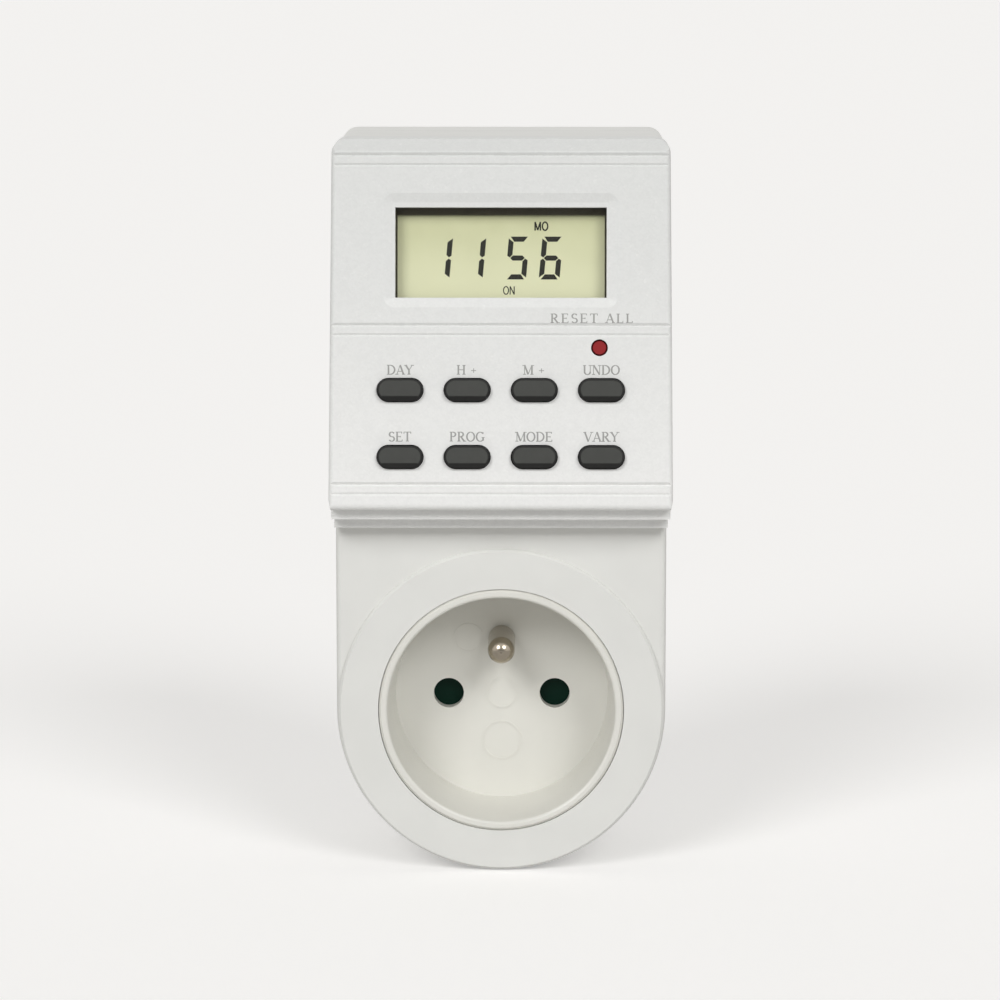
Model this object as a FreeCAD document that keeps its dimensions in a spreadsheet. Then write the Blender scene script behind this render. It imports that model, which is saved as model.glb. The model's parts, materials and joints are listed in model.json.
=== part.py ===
import FreeCAD, Part
import math
import os
import Sketcher
from FreeCAD import Placement, Rotation, Vector

# A plug-in digital week timer for a 230 V outlet.
# The plug's end face, between its two pins, holds the origin. X runs across the front, +Z is up,
# and the front looks along -Y. "Out" below is the distance from the plug's end face towards the
# front, so a point at out = 20 lies at Y = -20. Lengths are in millimetres, angles in degrees.

SIZES = {
    # Plug that enters the wall outlet
    "pin_pitch": 19.0,
    "pin_radius": 2.4,
    "pin_root_radius": 2.2,
    "pin_undercut": 0.3,
    "pin_length": 19.0,
    "pin_tip_round": 1.0,
    "pin_fit": 0.03,
    "pin_collar_radius": 3.4,
    "pin_collar_depth": 1.2,
    "pin_tail_radius": 1.6,
    "pin_tail_length": 2.0,
    "pin_tube_wall": 2.0,
    "pin_tube_depth": 6.0,
    "pin_mouth_radius": 2.8,
    "pin_mouth_depth": 0.4,
    "boss_radius": 18.4,
    "boss_depth": 16.0,
    "boss_end": 3.0,
    "boss_wall": 2.9,
    "earth_offset": 10.0,
    "earth_mouth_radius": 3.0,
    "earth_mouth_depth": 1.5,
    "earth_tube_wall": 1.3,
    "earth_tube_depth": 9.0,
    "earth_contact_wall": 0.7,
    "earth_contact_bore": 2.45,
    "earth_contact_end": 0.4,
    "earth_relief_depth": 0.6,
    "earth_relief_width": 0.3,
    "channel_width": 5.4,
    "channel_floor": 16.8,
    "clip_width": 4.4,
    "clip_thickness": 0.6,
    "clip_play": 0.15,
    "clip_end_gap": 1.5,
    # Housing
    "surround": 7.4,
    "corner_radius": 2.6,
    "wall": 2.0,
    "back_wall": 2.5,
    "back_edge_round": 1.2,
    "rear_depth": 14.0,
    "front_depth": 25.0,
    "deck_setback": 8.0,
    "deck_thickness": 2.0,
    "deck_opening_side": 10.9,
    "deck_opening_rise": 5.15,
    "deck_opening_drop": 8.1,
    "head_seam": 0.1,
    "front_edge_round": 0.9,
    "disc_inset": 0.3,
    "disc_rise": 1.0,
    "disc_edge": 0.4,
    # Posts and screws that hold the two covers together
    "cover_post_radius": 3.0,
    "cover_post_setback": 1.8,
    "cover_post_angle": 35.3,
    "cover_post_inset": 4.7,
    "cover_screw_radius": 1.4,
    "cover_screw_head_radius": 2.9,
    "cover_screw_head_depth": 1.7,
    "cover_screw_sink": 2.0,
    "cover_screw_grip": 10.0,
    # Head with the display and the keys
    "head_overhang": 0.8,
    "head_narrowing": 0.5,
    "corner_below_bevel": 0.45,
    "head_corner_rise": 1.8,
    "head_above_disc": 8.25,
    "head_rise": 10.2,
    "head_tilt": 8.0,
    "head_wall": 2.0,
    "face_above_window": 9.65,
    "bevel_rise": 1.95,
    "bevel_run": 2.7,
    "step_rise": 2.0,
    "step_run": 3.4,
    "step_inset": 0.35,
    "head_edge_round": 1.0,
    "groove_width": 0.9,
    "groove_depth": 0.42,
    "fine_groove_width": 0.7,
    "fine_groove_depth": 0.22,
    "groove_spacing": 1.66,
    "groove_end": 0.4,
    "top_groove_drop": 0.75,
    "groove_above_keys": 11.1,
    "bottom_groove_up": 4.5,
    "fascia_post_radius": 1.8,
    "fascia_post_inset": 4.0,
    "fascia_post_rise": 5.65,
    "fascia_post_drop": 16.1,
    "fascia_screw_radius": 1.0,
    "fascia_screw_head_radius": 1.9,
    "fascia_screw_head_depth": 1.2,
    "fascia_screw_grip": 5.0,
    "screw_play": 0.2,
    "thread_fit": 0.05,
    "pilot_spare": 0.5,
    "recess_reach_share": 0.6,
    "recess_width_share": 0.12,
    "recess_depth_share": 0.55,
    # Display
    "window_half_width": 18.2,
    "window_above_groove": 4.8,
    "window_height": 15.55,
    "bezel_side": 1.95,
    "bezel_above": 2.4,
    "bezel_below": 1.7,
    "bezel_corner": 1.8,
    "bezel_depth": 0.42,
    "bezel_slope": 75.0,
    "pane_lap": 1.3,
    "pane_thickness": 1.2,
    "frame_lip": 0.7,
    "frame_lip_high": 1.2,
    "frame_lip_side": 0.3,
    "frame_lip_low": 0.4,
    "frame_wall": 0.7,
    "frame_fit": 0.05,
    "lcd_lap_side": 1.0,
    "lcd_lap_low": 1.5,
    "lcd_lap_high": 2.6,
    "lcd_front_glass": 1.3,
    "lcd_back_glass": 1.3,
    "lcd_ledge": 1.6,
    "zebra_width": 1.5,
    "zebra_half_length": 17.5,
    # Display board
    "board_drop": 8.0,
    "board_thickness": 1.2,
    "board_side_gap": 0.7,
    "board_low": 3.7,
    "board_top_gap": 2.7,
    "board_boss_radius": 1.5,
    "board_boss_side": 1.8,
    "board_boss_drop": 1.7,
    "board_screw_radius": 0.7,
    "board_screw_head_radius": 1.4,
    "board_screw_head_depth": 0.9,
    "board_screw_grip": 3.5,
    "chip_radius": 5.6,
    "chip_back_radius": 3.9,
    "chip_height": 1.3,
    "crystal_radius": 1.0,
    "crystal_length": 6.0,
    "crystal_across": 9.0,
    "crystal_rise": 1.3,
    "battery_radius": 5.8,
    "battery_thickness": 4.4,
    "battery_across": -9.0,
    "tab_width": 3.0,
    "tab_thickness": 0.3,
    "tab_overhang": 0.5,
    # Keys
    "key_length": 7.85,
    "key_height": 3.9,
    "key_column_pitch": 11.55,
    "key_row_pitch": 11.52,
    "keys_above_groove": 4.78,
    "key_play": 0.15,
    "key_proud": 1.3,
    "key_edge_bevel": 0.4,
    "key_foot_slope_run": 0.95,
    "key_foot_slope_drop": 0.6,
    "key_travel": 0.9,
    "key_flange": 0.6,
    "key_flange_depth": 0.8,
    "key_flange_play": 0.1,
    "key_stem_inset": 0.65,
    "key_stem_rest": 0.5,
    "mat_thickness": 0.6,
    "mat_margin": 0.9,
    "mat_inset": 0.4,
    "collar_height": 2.2,
    "collar_wall": 0.8,
    "collar_play": 0.3,
    # Reset button
    "reset_across": 16.97,
    "reset_below_groove": 3.8,
    "reset_hole_radius": 1.45,
    "reset_radius": 1.15,
    "reset_stem_radius": 0.9,
    "reset_recess": 0.3,
    "reset_flange": 0.8,
    "reset_flange_depth": 0.8,
    "reset_travel": 0.4,
    "reset_switch_side": 4.0,
    "reset_switch_height": 1.0,
    "reset_nub_radius": 0.8,
    "reset_nub_height": 0.3,
    "reset_nub_gap": 0.1,
    # Outlet insert in the front
    "mouth_radius": 20.0,
    "well_taper": 1.0,
    "well_depth": 16.0,
    "floor_thickness": 2.5,
    "rim_width": 1.5,
    "rim_round": 0.55,
    "insert_fit": 0.1,
    "insert_flange_depth": 3.5,
    "barrel_step": 0.6,
    "insert_ear_offset": 2.3,
    "insert_ear_radius": 2.6,
    "insert_ear_depth": 2.0,
    "insert_post_radius": 2.3,
    "insert_post_depth": 6.0,
    "outlet_hole_radius": 2.7,
    "mark_height": 0.12,
    "mark_line": 0.35,
    "centre_mark_radius": 2.8,
    "earth_mark_across": -5.96,
    "earth_mark_radius": 2.7,
    "low_mark_up": -8.6,
    "low_mark_radius": 3.6,
    "ground_pin_reach": 14.0,
    "ground_flange_radius": 3.3,
    "ground_flange_depth": 2.0,
    "ground_tail_radius": 1.6,
    "ground_tail_length": 4.0,
    "socket_screw_radius": 0.9,
    "socket_screw_head_radius": 1.7,
    "socket_screw_head_depth": 1.2,
    "insert_screw_grip": 4.5,
    # Shutter and its carrier
    "shutter_half_length": 14.0,
    "shutter_half_height": 3.3,
    "shutter_thickness": 3.2,
    "shutter_play": 0.3,
    "shutter_travel": 6.2,
    "shutter_ramp": 1.2,
    "carrier_rail": 2.5,
    "carrier_top": 5.8,
    "carrier_bar": 2.5,
    "carrier_corner": 3.0,
    "carrier_plate": 1.7,
    "carrier_post_gap": 0.1,
    "carrier_post_rise": 3.6,
    "carrier_post_radius": 1.9,
    "spring_radius": 1.5,
    "spring_wire": 0.2,
    "spring_turns": 9.0,
    "spring_pressed": 7.5,
    "spring_peg_width": 1.0,
    "spring_peg_length": 2.0,
    "chamber_half": 4.7,
    "chamber_wall": 0.7,
    "chamber_depth": 10.0,
    "contact_half": 3.6,
    "contact_bore": 2.45,
    "contact_slit": 1.0,
    "contact_pass_radius": 3.0,
    "contact_tab_width": 4.4,
    "contact_tab_thickness": 0.8,
    "contact_tab_top": 9.0,
    # Power board
    "power_standoff": 3.5,
    "power_board_thickness": 1.6,
    "power_board_side_gap": 4.4,
    "power_board_above_outlet": 10.5,
    "power_board_drop": 12.1,
    "power_post_radius": 2.2,
    "power_post_side": 3.0,
    "power_post_margin": 4.0,
    "relay_across": -11.5,
    "relay_rise": 35.0,
    "relay_half_width": 8.0,
    "relay_half_height": 11.0,
    "relay_base_depth": 1.8,
    "relay_cover_depth": 16.6,
    "relay_cover_wall": 0.8,
    "relay_yoke_half_width": 5.6,
    "relay_yoke_thickness": 1.2,
    "relay_yoke_depth": 13.0,
    "relay_coil_radius": 5.0,
    "relay_coil_drop": 1.0,
    "relay_coil_inset": 0.6,
    "relay_flange": 0.8,
    "relay_core_radius": 2.0,
    "relay_yoke_margin": 1.5,
    "relay_coil_gap": 0.4,
    "pole_clearance": 0.19,
    "armature_thickness": 1.2,
    "armature_gap": 0.4,
    "armature_length": 16.0,
    "armature_swing": 3.0,
    "contact_post_width": 2.4,
    "contact_post_height": 10.5,
    "contact_post_margin": 0.4,
    "film_across": 11.0,
    "film_rise": 44.0,
    "film_length": 17.0,
    "film_width": 7.0,
    "film_depth": 13.0,
    "can_across": 4.5,
    "can_rise": 30.0,
    "can_radius": 4.0,
    "can_top_radius": 3.4,
    "can_depth": 11.0,
    "varistor_across": 13.5,
    "varistor_rise": 29.0,
    "varistor_radius": 4.5,
    "varistor_thickness": 3.4,
    "varistor_lift": 0.8,
    "fuse_across": 3.5,
    "fuse_rise": 17.0,
    "fuse_radius": 1.6,
    "fuse_length": 8.0,
    "diode_across": -10.0,
    "diode_rise": 10.0,
    "diode_radius": 1.3,
    "diode_length": 4.6,
    "diode_pitch": 4.0,
    "lead_leg_radius": 0.35,
    "lead_leg_reach": 1.6,
    "part_lift": 0.4,
    # Wires
    "wire_radius": 1.1,
    "lead_pad_shift": 3.0,
    "link_pad_shift": 4.5,
    "link_end_margin": 0.2,
    "pad_rise": 6.5,
    "ribbon_thickness": 0.8,
    "ribbon_width": 9.0,
    "ribbon_side_gap": 1.0,
    "ribbon_below_groove": 4.9,
    "ribbon_rise": 14.0,
    "ribbon_run": 7.0,
}


class Size:
    """A number together with the sheet formula that gives it."""

    def __init__(self, value, formula=None):
        self.value = float(value)
        self.formula = formula or format(self.value, "g")

    def __float__(self):
        return self.value

    def _join(self, left, right, sign, value):
        return Size(value, "(" + left.formula + " " + sign + " " + right.formula + ")")

    def __add__(self, other):
        other = as_size(other)
        return self._join(self, other, "+", self.value + other.value)

    def __radd__(self, other):
        return as_size(other) + self

    def __sub__(self, other):
        other = as_size(other)
        return self._join(self, other, "-", self.value - other.value)

    def __rsub__(self, other):
        return as_size(other) - self

    def __mul__(self, other):
        other = as_size(other)
        return self._join(self, other, "*", self.value * other.value)

    def __rmul__(self, other):
        return as_size(other) * self

    def __truediv__(self, other):
        other = as_size(other)
        return self._join(self, other, "/", self.value / other.value)

    def __neg__(self):
        return Size(-self.value, "-(" + self.formula + ")")


def as_size(number):
    return number if isinstance(number, Size) else Size(number)


def sine(angle):
    return Size(math.sin(math.radians(angle.value)), "sin(" + angle.formula + ")")


def cosine(angle):
    return Size(math.cos(math.radians(angle.value)), "cos(" + angle.formula + ")")


def tangent(angle):
    return Size(math.tan(math.radians(angle.value)), "tan(" + angle.formula + ")")


def arctangent(ratio):
    return Size(math.degrees(math.atan(ratio.value)), "atan(" + ratio.formula + ")")


def make_sheet(document):
    """One row of the sheet for each driving size: its name, its number and its alias."""
    sheet = document.addObject("Spreadsheet::Sheet", "dims")
    sizes = {}
    for row, (name, number) in enumerate(SIZES.items(), start=1):
        sheet.set("A%d" % row, name)
        sheet.set("B%d" % row, str(number))
        sheet.setAlias("B%d" % row, name)
    document.recompute()
    for name in SIZES:
        sizes[name] = Size(sheet.get(name), "dims." + name)
    return type("Dims", (), sizes)


doc = FreeCAD.newDocument("digital_timer")
dim = make_sheet(doc)


def bind(obj, path, size):
    size = as_size(size)
    if "dims." in size.formula:
        obj.setExpression(path, size.formula)


class Frame:
    """A flat datum that faces the front: across, up along it, and out of it."""

    def __init__(self, up, out, lean):
        self.up = as_size(up)
        self.out = as_size(out)
        self.lean = as_size(lean)

    def height(self, up, out):
        """Z of a point given along the datum and out of it."""
        return self.up + up * cosine(self.lean) + out * sine(self.lean)

    def forward(self, up, out):
        """Distance out from the plug's end face of such a point."""
        return self.out + out * cosine(self.lean) - up * sine(self.lean)

    def off(self, point):
        """How far a model point stands out of the datum."""
        lean = math.radians(self.lean.value)
        rise = point.z - self.up.value
        ahead = -point.y - self.out.value
        return ahead * math.cos(lean) + rise * math.sin(lean)


FRONT = Frame(0, 0, 0)

# Outline and rows of the face, from the outlet's mouth outwards and from the face's foot upwards
OUTLET_RADIUS = dim.mouth_radius + dim.rim_width
HALF_WIDTH = OUTLET_RADIUS + dim.surround
DISC_RADIUS = HALF_WIDTH - dim.disc_inset
HEAD_BOTTOM = DISC_RADIUS + dim.head_above_disc
HEAD_HALF_WIDTH = HALF_WIDTH + dim.head_overhang
KEY_LOW_ROW = dim.bottom_groove_up + dim.keys_above_groove
KEY_HIGH_ROW = KEY_LOW_ROW + dim.key_row_pitch
MIDDLE_GROOVE = KEY_HIGH_ROW + dim.groove_above_keys
RESET_UP = MIDDLE_GROOVE - dim.reset_below_groove
WINDOW_LOW = MIDDLE_GROOVE + dim.window_above_groove
WINDOW_HIGH = WINDOW_LOW + dim.window_height
FACE_LENGTH = WINDOW_HIGH + dim.face_above_window
FASCIA_POST_ACROSS = HALF_WIDTH - dim.fascia_post_inset
BOARD_HALF_WIDTH = FASCIA_POST_ACROSS - dim.fascia_post_radius - dim.board_side_gap
BOARD_HIGH = FACE_LENGTH - dim.board_top_gap
POWER_HALF_WIDTH = HALF_WIDTH - dim.wall - dim.power_board_side_gap
POWER_LOW = OUTLET_RADIUS + dim.power_board_above_outlet
BARREL_RADIUS = OUTLET_RADIUS - dim.barrel_step
EAR_REACH = OUTLET_RADIUS + dim.insert_ear_offset

# Planes that more than one piece meets, as distances out from the plug's end face
BACK = dim.boss_depth
BACK_INSIDE = BACK + dim.back_wall
PARTING = BACK + dim.rear_depth
LOW_FACE = PARTING + dim.front_depth
FACE = Frame(HEAD_BOTTOM, LOW_FACE + dim.head_rise, dim.head_tilt)
DISC_FACE = LOW_FACE + dim.disc_rise
DECK_FACE = LOW_FACE - dim.deck_setback
DECK_BACK = DECK_FACE - dim.deck_thickness
FRONT_INSIDE = LOW_FACE - dim.wall
SOCKET_FLOOR = DISC_FACE - dim.well_depth
FLOOR_BACK = SOCKET_FLOOR - dim.floor_thickness
HEAD_TOP = FACE.height(FACE_LENGTH, Size(0)) + dim.bevel_rise
POWER_HIGH = HEAD_TOP - dim.power_board_drop
STEPS_BOTTOM = HEAD_BOTTOM - 2 * dim.step_rise
HALF_PITCH = dim.pin_pitch / 2
BOARD_FRONT = -dim.board_drop
BOARD_BACK = BOARD_FRONT - dim.board_thickness
POWER_BACK = BACK_INSIDE + dim.power_standoff
POWER_FRONT = POWER_BACK + dim.power_board_thickness
CARRIER_FRONT = FLOOR_BACK - dim.shutter_thickness - 2 * dim.shutter_play
CARRIER_BACK = CARRIER_FRONT - dim.carrier_plate
SPRING_LOW = -dim.shutter_half_height - dim.shutter_travel - dim.spring_pressed
CARRIER_BOTTOM = SPRING_LOW - dim.carrier_bar
SPRING_OUT = CARRIER_FRONT + dim.shutter_play + dim.shutter_thickness / 2


def cover_posts():
    """Across and up of the four screw posts between the two covers."""
    reach = HALF_WIDTH - dim.wall - dim.cover_post_setback
    low_across = reach * cosine(dim.cover_post_angle)
    low_up = -reach * sine(dim.cover_post_angle)
    high_across = HALF_WIDTH - dim.cover_post_inset
    high_up = HEAD_TOP - dim.cover_post_inset
    return [(-low_across, low_up), (low_across, low_up), (-high_across, high_up), (high_across, high_up)]


def both_sides(across, ups):
    return [(side * across, up) for up in ups for side in (-1, 1)]


class Drawing:
    """Closed outlines on one datum of a body, every corner tied to the sizes."""

    def __init__(self, body, role, offset):
        self.sketch = body.newObject("Sketcher::SketchObject", body.Name + "_sketch")
        planes = [plane for plane in body.Origin.OriginFeatures if plane.Role == role]
        self.sketch.AttachmentSupport = [(planes[0], "")]
        self.sketch.MapMode = "FlatFace"
        across, up, out, lean = offset
        place = Vector(float(across), float(up), float(out))
        self.sketch.AttachmentOffset = Placement(place, Rotation(Vector(-1, 0, 0), float(lean)))
        bind(self.sketch, "AttachmentOffset.Base.x", across)
        bind(self.sketch, "AttachmentOffset.Base.y", up)
        bind(self.sketch, "AttachmentOffset.Base.z", out)
        if float(lean):
            bind(self.sketch, "AttachmentOffset.Rotation.Angle", lean)

    def tie(self, geometry, position, x, y):
        for kind, size in (("DistanceX", x), ("DistanceY", y)):
            rule = Sketcher.Constraint(kind, -1, 1, geometry, position, float(size))
            index = self.sketch.addConstraint(rule)
            bind(self.sketch, "Constraints[%d]" % index, size)

    def tie_radius(self, geometry, radius):
        index = self.sketch.addConstraint(Sketcher.Constraint("Radius", geometry, float(radius)))
        bind(self.sketch, "Constraints[%d]" % index, radius)

    def join(self, kind, first, first_end, second, second_end):
        self.sketch.addConstraint(Sketcher.Constraint(kind, first, first_end, second, second_end))

    def line(self, start, end):
        start_point = Vector(float(start[0]), float(start[1]), 0)
        end_point = Vector(float(end[0]), float(end[1]), 0)
        return self.sketch.addGeometry(Part.LineSegment(start_point, end_point), False)

    def arc(self, x, y, radius, start, end):
        circle = Part.Circle(Vector(float(x), float(y), 0), Vector(0, 0, 1), float(radius))
        arc = Part.ArcOfCircle(circle, math.radians(start), math.radians(end))
        index = self.sketch.addGeometry(arc, False)
        self.tie(index, 3, x, y)
        self.tie_radius(index, radius)
        return index

    def circle(self, x, y, radius):
        centre = Vector(float(x), float(y), 0)
        index = self.sketch.addGeometry(Part.Circle(centre, Vector(0, 0, 1), float(radius)), False)
        self.tie(index, 3, x, y)
        self.tie_radius(index, radius)

    def circles(self, places, radius):
        for x, y in places:
            self.circle(x, y, radius)

    def polygon(self, points):
        count = len(points)
        lines = [self.line(points[i], points[(i + 1) % count]) for i in range(count)]
        for i in range(count):
            self.join("Coincident", lines[i], 2, lines[(i + 1) % count], 1)
            self.tie(lines[i], 1, points[i][0], points[i][1])

    def rectangle(self, left, low, right, high):
        self.polygon([(left, low), (right, low), (right, high), (left, high)])

    def slot(self, x, y, length, height):
        """A stadium: two straight sides and two half-round ends."""
        radius = height / 2
        reach = length / 2 - radius
        low = self.line((x - reach, y - radius), (x + reach, y - radius))
        right = self.arc(x + reach, y, radius, -90, 90)
        high = self.line((x + reach, y + radius), (x - reach, y + radius))
        left = self.arc(x - reach, y, radius, 90, 270)
        self.join("Tangent", low, 2, right, 1)
        self.join("Tangent", right, 2, high, 1)
        self.join("Tangent", high, 2, left, 1)
        self.join("Tangent", left, 2, low, 1)

    def rounded_rectangle(self, left, low, right, high, radius):
        """A rectangle with four round corners."""
        in_left, in_right = left + radius, right - radius
        in_low, in_high = low + radius, high - radius
        pieces = [
            self.line((in_left, low), (in_right, low)),
            self.arc(in_right, in_low, radius, -90, 0),
            self.line((right, in_low), (right, in_high)),
            self.arc(in_right, in_high, radius, 0, 90),
            self.line((in_right, high), (in_left, high)),
            self.arc(in_left, in_high, radius, 90, 180),
            self.line((left, in_high), (left, in_low)),
            self.arc(in_left, in_low, radius, 180, 270),
        ]
        for i in range(len(pieces)):
            self.join("Tangent", pieces[i], 2, pieces[(i + 1) % len(pieces)], 1)

    def arch(self, half_width, high):
        """The housing's outline: a half circle below, straight sides and a flat top."""
        bottom = self.arc(Size(0), Size(0), half_width, 180, 360)
        right = self.line((half_width, 0), (half_width, high))
        top = self.line((half_width, high), (-half_width, high))
        left = self.line((-half_width, high), (-half_width, 0))
        self.join("Tangent", bottom, 2, right, 1)
        self.join("Coincident", right, 2, top, 1)
        self.join("Coincident", top, 2, left, 1)
        self.join("Tangent", left, 2, bottom, 1)
        self.tie(top, 1, half_width, high)
        self.tie(top, 2, -half_width, high)

    def ring(self, x, y, outer, inner):
        self.circle(x, y, outer)
        self.circle(x, y, inner)


class Moulding:
    """A body grown by pads, pockets and rounds, each on the body's own datums."""

    def __init__(self, label):
        self.body = doc.addObject("PartDesign::Body", label)
        self.body.Label = label

    def _drawing(self, frame, out):
        offset = (Size(0), frame.height(Size(0), out), frame.forward(Size(0), out), frame.lean)
        return Drawing(self.body, "XZ_Plane", offset)

    def _volume(self):
        return self.body.Shape.Volume if self.body.Tip else 0.0

    def _feature(self, kind, sketch, length):
        feature = self.body.newObject("PartDesign::" + kind, self.body.Name + "_" + kind.lower())
        feature.Profile = sketch
        feature.Length = float(length)
        bind(feature, "Length", length)
        return feature

    def _settle(self, feature, before):
        """Rebuilds the body and stops if a pad added nothing or a pocket cut nothing."""
        doc.recompute()
        change = self._volume() - before
        grows = feature.isDerivedFrom("PartDesign::Pad")
        if "Invalid" in feature.State or abs(change) < 1e-6 or (change > 0) != grows:
            raise ValueError(feature.Name + " changed the body by %.3f" % change)
        return feature

    def pad(self, out, length, draw, frame=FRONT):
        """Adds material from a plane towards the front."""
        before = self._volume()
        drawing = self._drawing(frame, as_size(out))
        draw(drawing)
        return self._settle(self._feature("Pad", drawing.sketch, as_size(length)), before)

    def pocket(self, out, depth, draw, frame=FRONT, slope=None):
        """Cuts from a plane towards the wall."""
        before = self._volume()
        drawing = self._drawing(frame, as_size(out))
        draw(drawing)
        feature = self._feature("Pocket", drawing.sketch, as_size(depth))
        if slope is not None:
            feature.TaperAngle = float(slope)
            bind(feature, "TaperAngle", slope)
        return self._settle(feature, before)

    def across(self, kind, width, draw):
        """Pads or cuts a side profile, drawn as depth and height, equally to the left and right."""
        before = self._volume()
        drawing = Drawing(self.body, "YZ_Plane", (Size(0), Size(0), Size(0), Size(0)))
        draw(drawing)
        feature = self._feature(kind, drawing.sketch, as_size(width))
        feature.SideType = "Symmetric"
        return self._settle(feature, before)

    def round_edges(self, radius, wanted, kind="Fillet"):
        """Rounds or chamfers the edges that the test picks."""
        tip = self.body.Tip
        names = ["Edge%d" % (i + 1) for i, edge in enumerate(tip.Shape.Edges) if wanted(edge)]
        feature = self.body.newObject("PartDesign::" + kind, self.body.Name + "_" + kind.lower())
        feature.Base = (tip, names)
        path = "Radius" if kind == "Fillet" else "Size"
        setattr(feature, path, float(radius))
        bind(feature, path, radius)
        doc.recompute()
        if "Invalid" in feature.State:
            raise ValueError(feature.Name + " failed on " + ", ".join(names))
        return feature

    def turn_copies(self, feature, count):
        """Repeats a feature around the outlet's axis."""
        axis = [line for line in self.body.Origin.OriginFeatures if line.Role == "Y_Axis"][0]
        pattern = self.body.newObject("PartDesign::PolarPattern", self.body.Name + "_ring")
        pattern.Originals = [feature]
        pattern.Axis = (axis, [""])
        pattern.Angle = 360
        pattern.Occurrences = count
        self.body.Tip = pattern
        doc.recompute()
        return pattern


def ends_at(edge, test):
    return all(test(vertex.Point) for vertex in edge.Vertexes)


def near(value, target, reach=0.02):
    return abs(value - float(target)) < reach


def place(obj, frame, across, up, out, turn=None):
    """Sets an object in a frame: its own Z points out of it, its own X across."""
    height, forward = frame.height(as_size(up), as_size(out)), frame.forward(as_size(up), as_size(out))
    facing = Rotation(Vector(1, 0, 0), 90 - float(frame.lean))
    if turn is not None:
        facing = facing.multiply(turn)
    obj.Placement = Placement(Vector(float(across), -float(forward), float(height)), facing)
    bind(obj, "Placement.Base.x", across)
    bind(obj, "Placement.Base.y", -forward)
    bind(obj, "Placement.Base.z", height)
    if turn is None:
        bind(obj, "Placement.Rotation.Angle", 90 - frame.lean)


def named(kind, label, **sizes):
    obj = doc.addObject(kind, label)
    obj.Label = label
    for name, size in sizes.items():
        setattr(obj, name, float(size))
        bind(obj, name, size)
    return obj


def block(label, left, right, low, high, back, front, frame=FRONT):
    """A box between two positions across, up and out."""
    box = named("Part::Box", label, Length=right - left, Width=high - low, Height=front - back)
    place(box, frame, left, low, back)
    return box


TURNS = {
    "out": None,
    "across": Rotation(Vector(0, 1, 0), 90),
    "up": Rotation(Vector(1, 0, 0), -90),
}


def rod(label, across, up, out, radius, length, frame=FRONT, along="out"):
    cylinder = named("Part::Cylinder", label, Radius=radius, Height=length)
    place(cylinder, frame, across, up, out, TURNS[along])
    return cylinder


def fuse(label, shapes):
    obj = doc.addObject("Part::MultiFuse", label)
    obj.Label = label
    obj.Shapes = shapes
    return obj


def group(label, shapes):
    obj = doc.addObject("Part::Compound", label)
    obj.Label = label
    obj.Links = shapes
    return obj


def cut(label, base, tools):
    obj = doc.addObject("Part::Cut", label)
    obj.Label = label
    obj.Base = base
    obj.Tool = tools[0] if len(tools) == 1 else fuse(label + "_tools", tools)
    return obj


def screw(label, across, up, head, grip, radius, head_radius, head_depth, frame=FRONT, inward=False):
    """A screw with a cross recess: driven towards the front, or inward, towards the wall."""
    recess_half = head_radius * dim.recess_reach_share
    recess_thin = head_radius * dim.recess_width_share
    recess_depth = head_depth * dim.recess_depth_share
    if inward:
        head_back, shank_back, recess_back = head, head - grip, head + head_depth - recess_depth
    else:
        head_back, shank_back, recess_back = head - head_depth, head, head - head_depth
    disc = rod(label + "_head", across, up, head_back, head_radius, head_depth, frame)
    shank = rod(label + "_shank", across, up, shank_back, radius, grip, frame)
    solid = fuse(label + "_blank", [disc, shank])
    front = recess_back + recess_depth
    flat = block(label + "_flat", across - recess_half, across + recess_half, up - recess_thin,
                 up + recess_thin, recess_back, front, frame)
    upright = block(label + "_upright", across - recess_thin, across + recess_thin, up - recess_half,
                    up + recess_half, recess_back, front, frame)
    return cut(label, solid, [flat, upright])


def screws(label, places, head, grip, radius, head_radius, head_depth, frame=FRONT, inward=False):
    made = []
    for number, (across, up) in enumerate(places, start=1):
        name = "%s_%d" % (label, number)
        made.append(screw(name, across, up, head, grip, radius, head_radius, head_depth, frame, inward))
    return made


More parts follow.
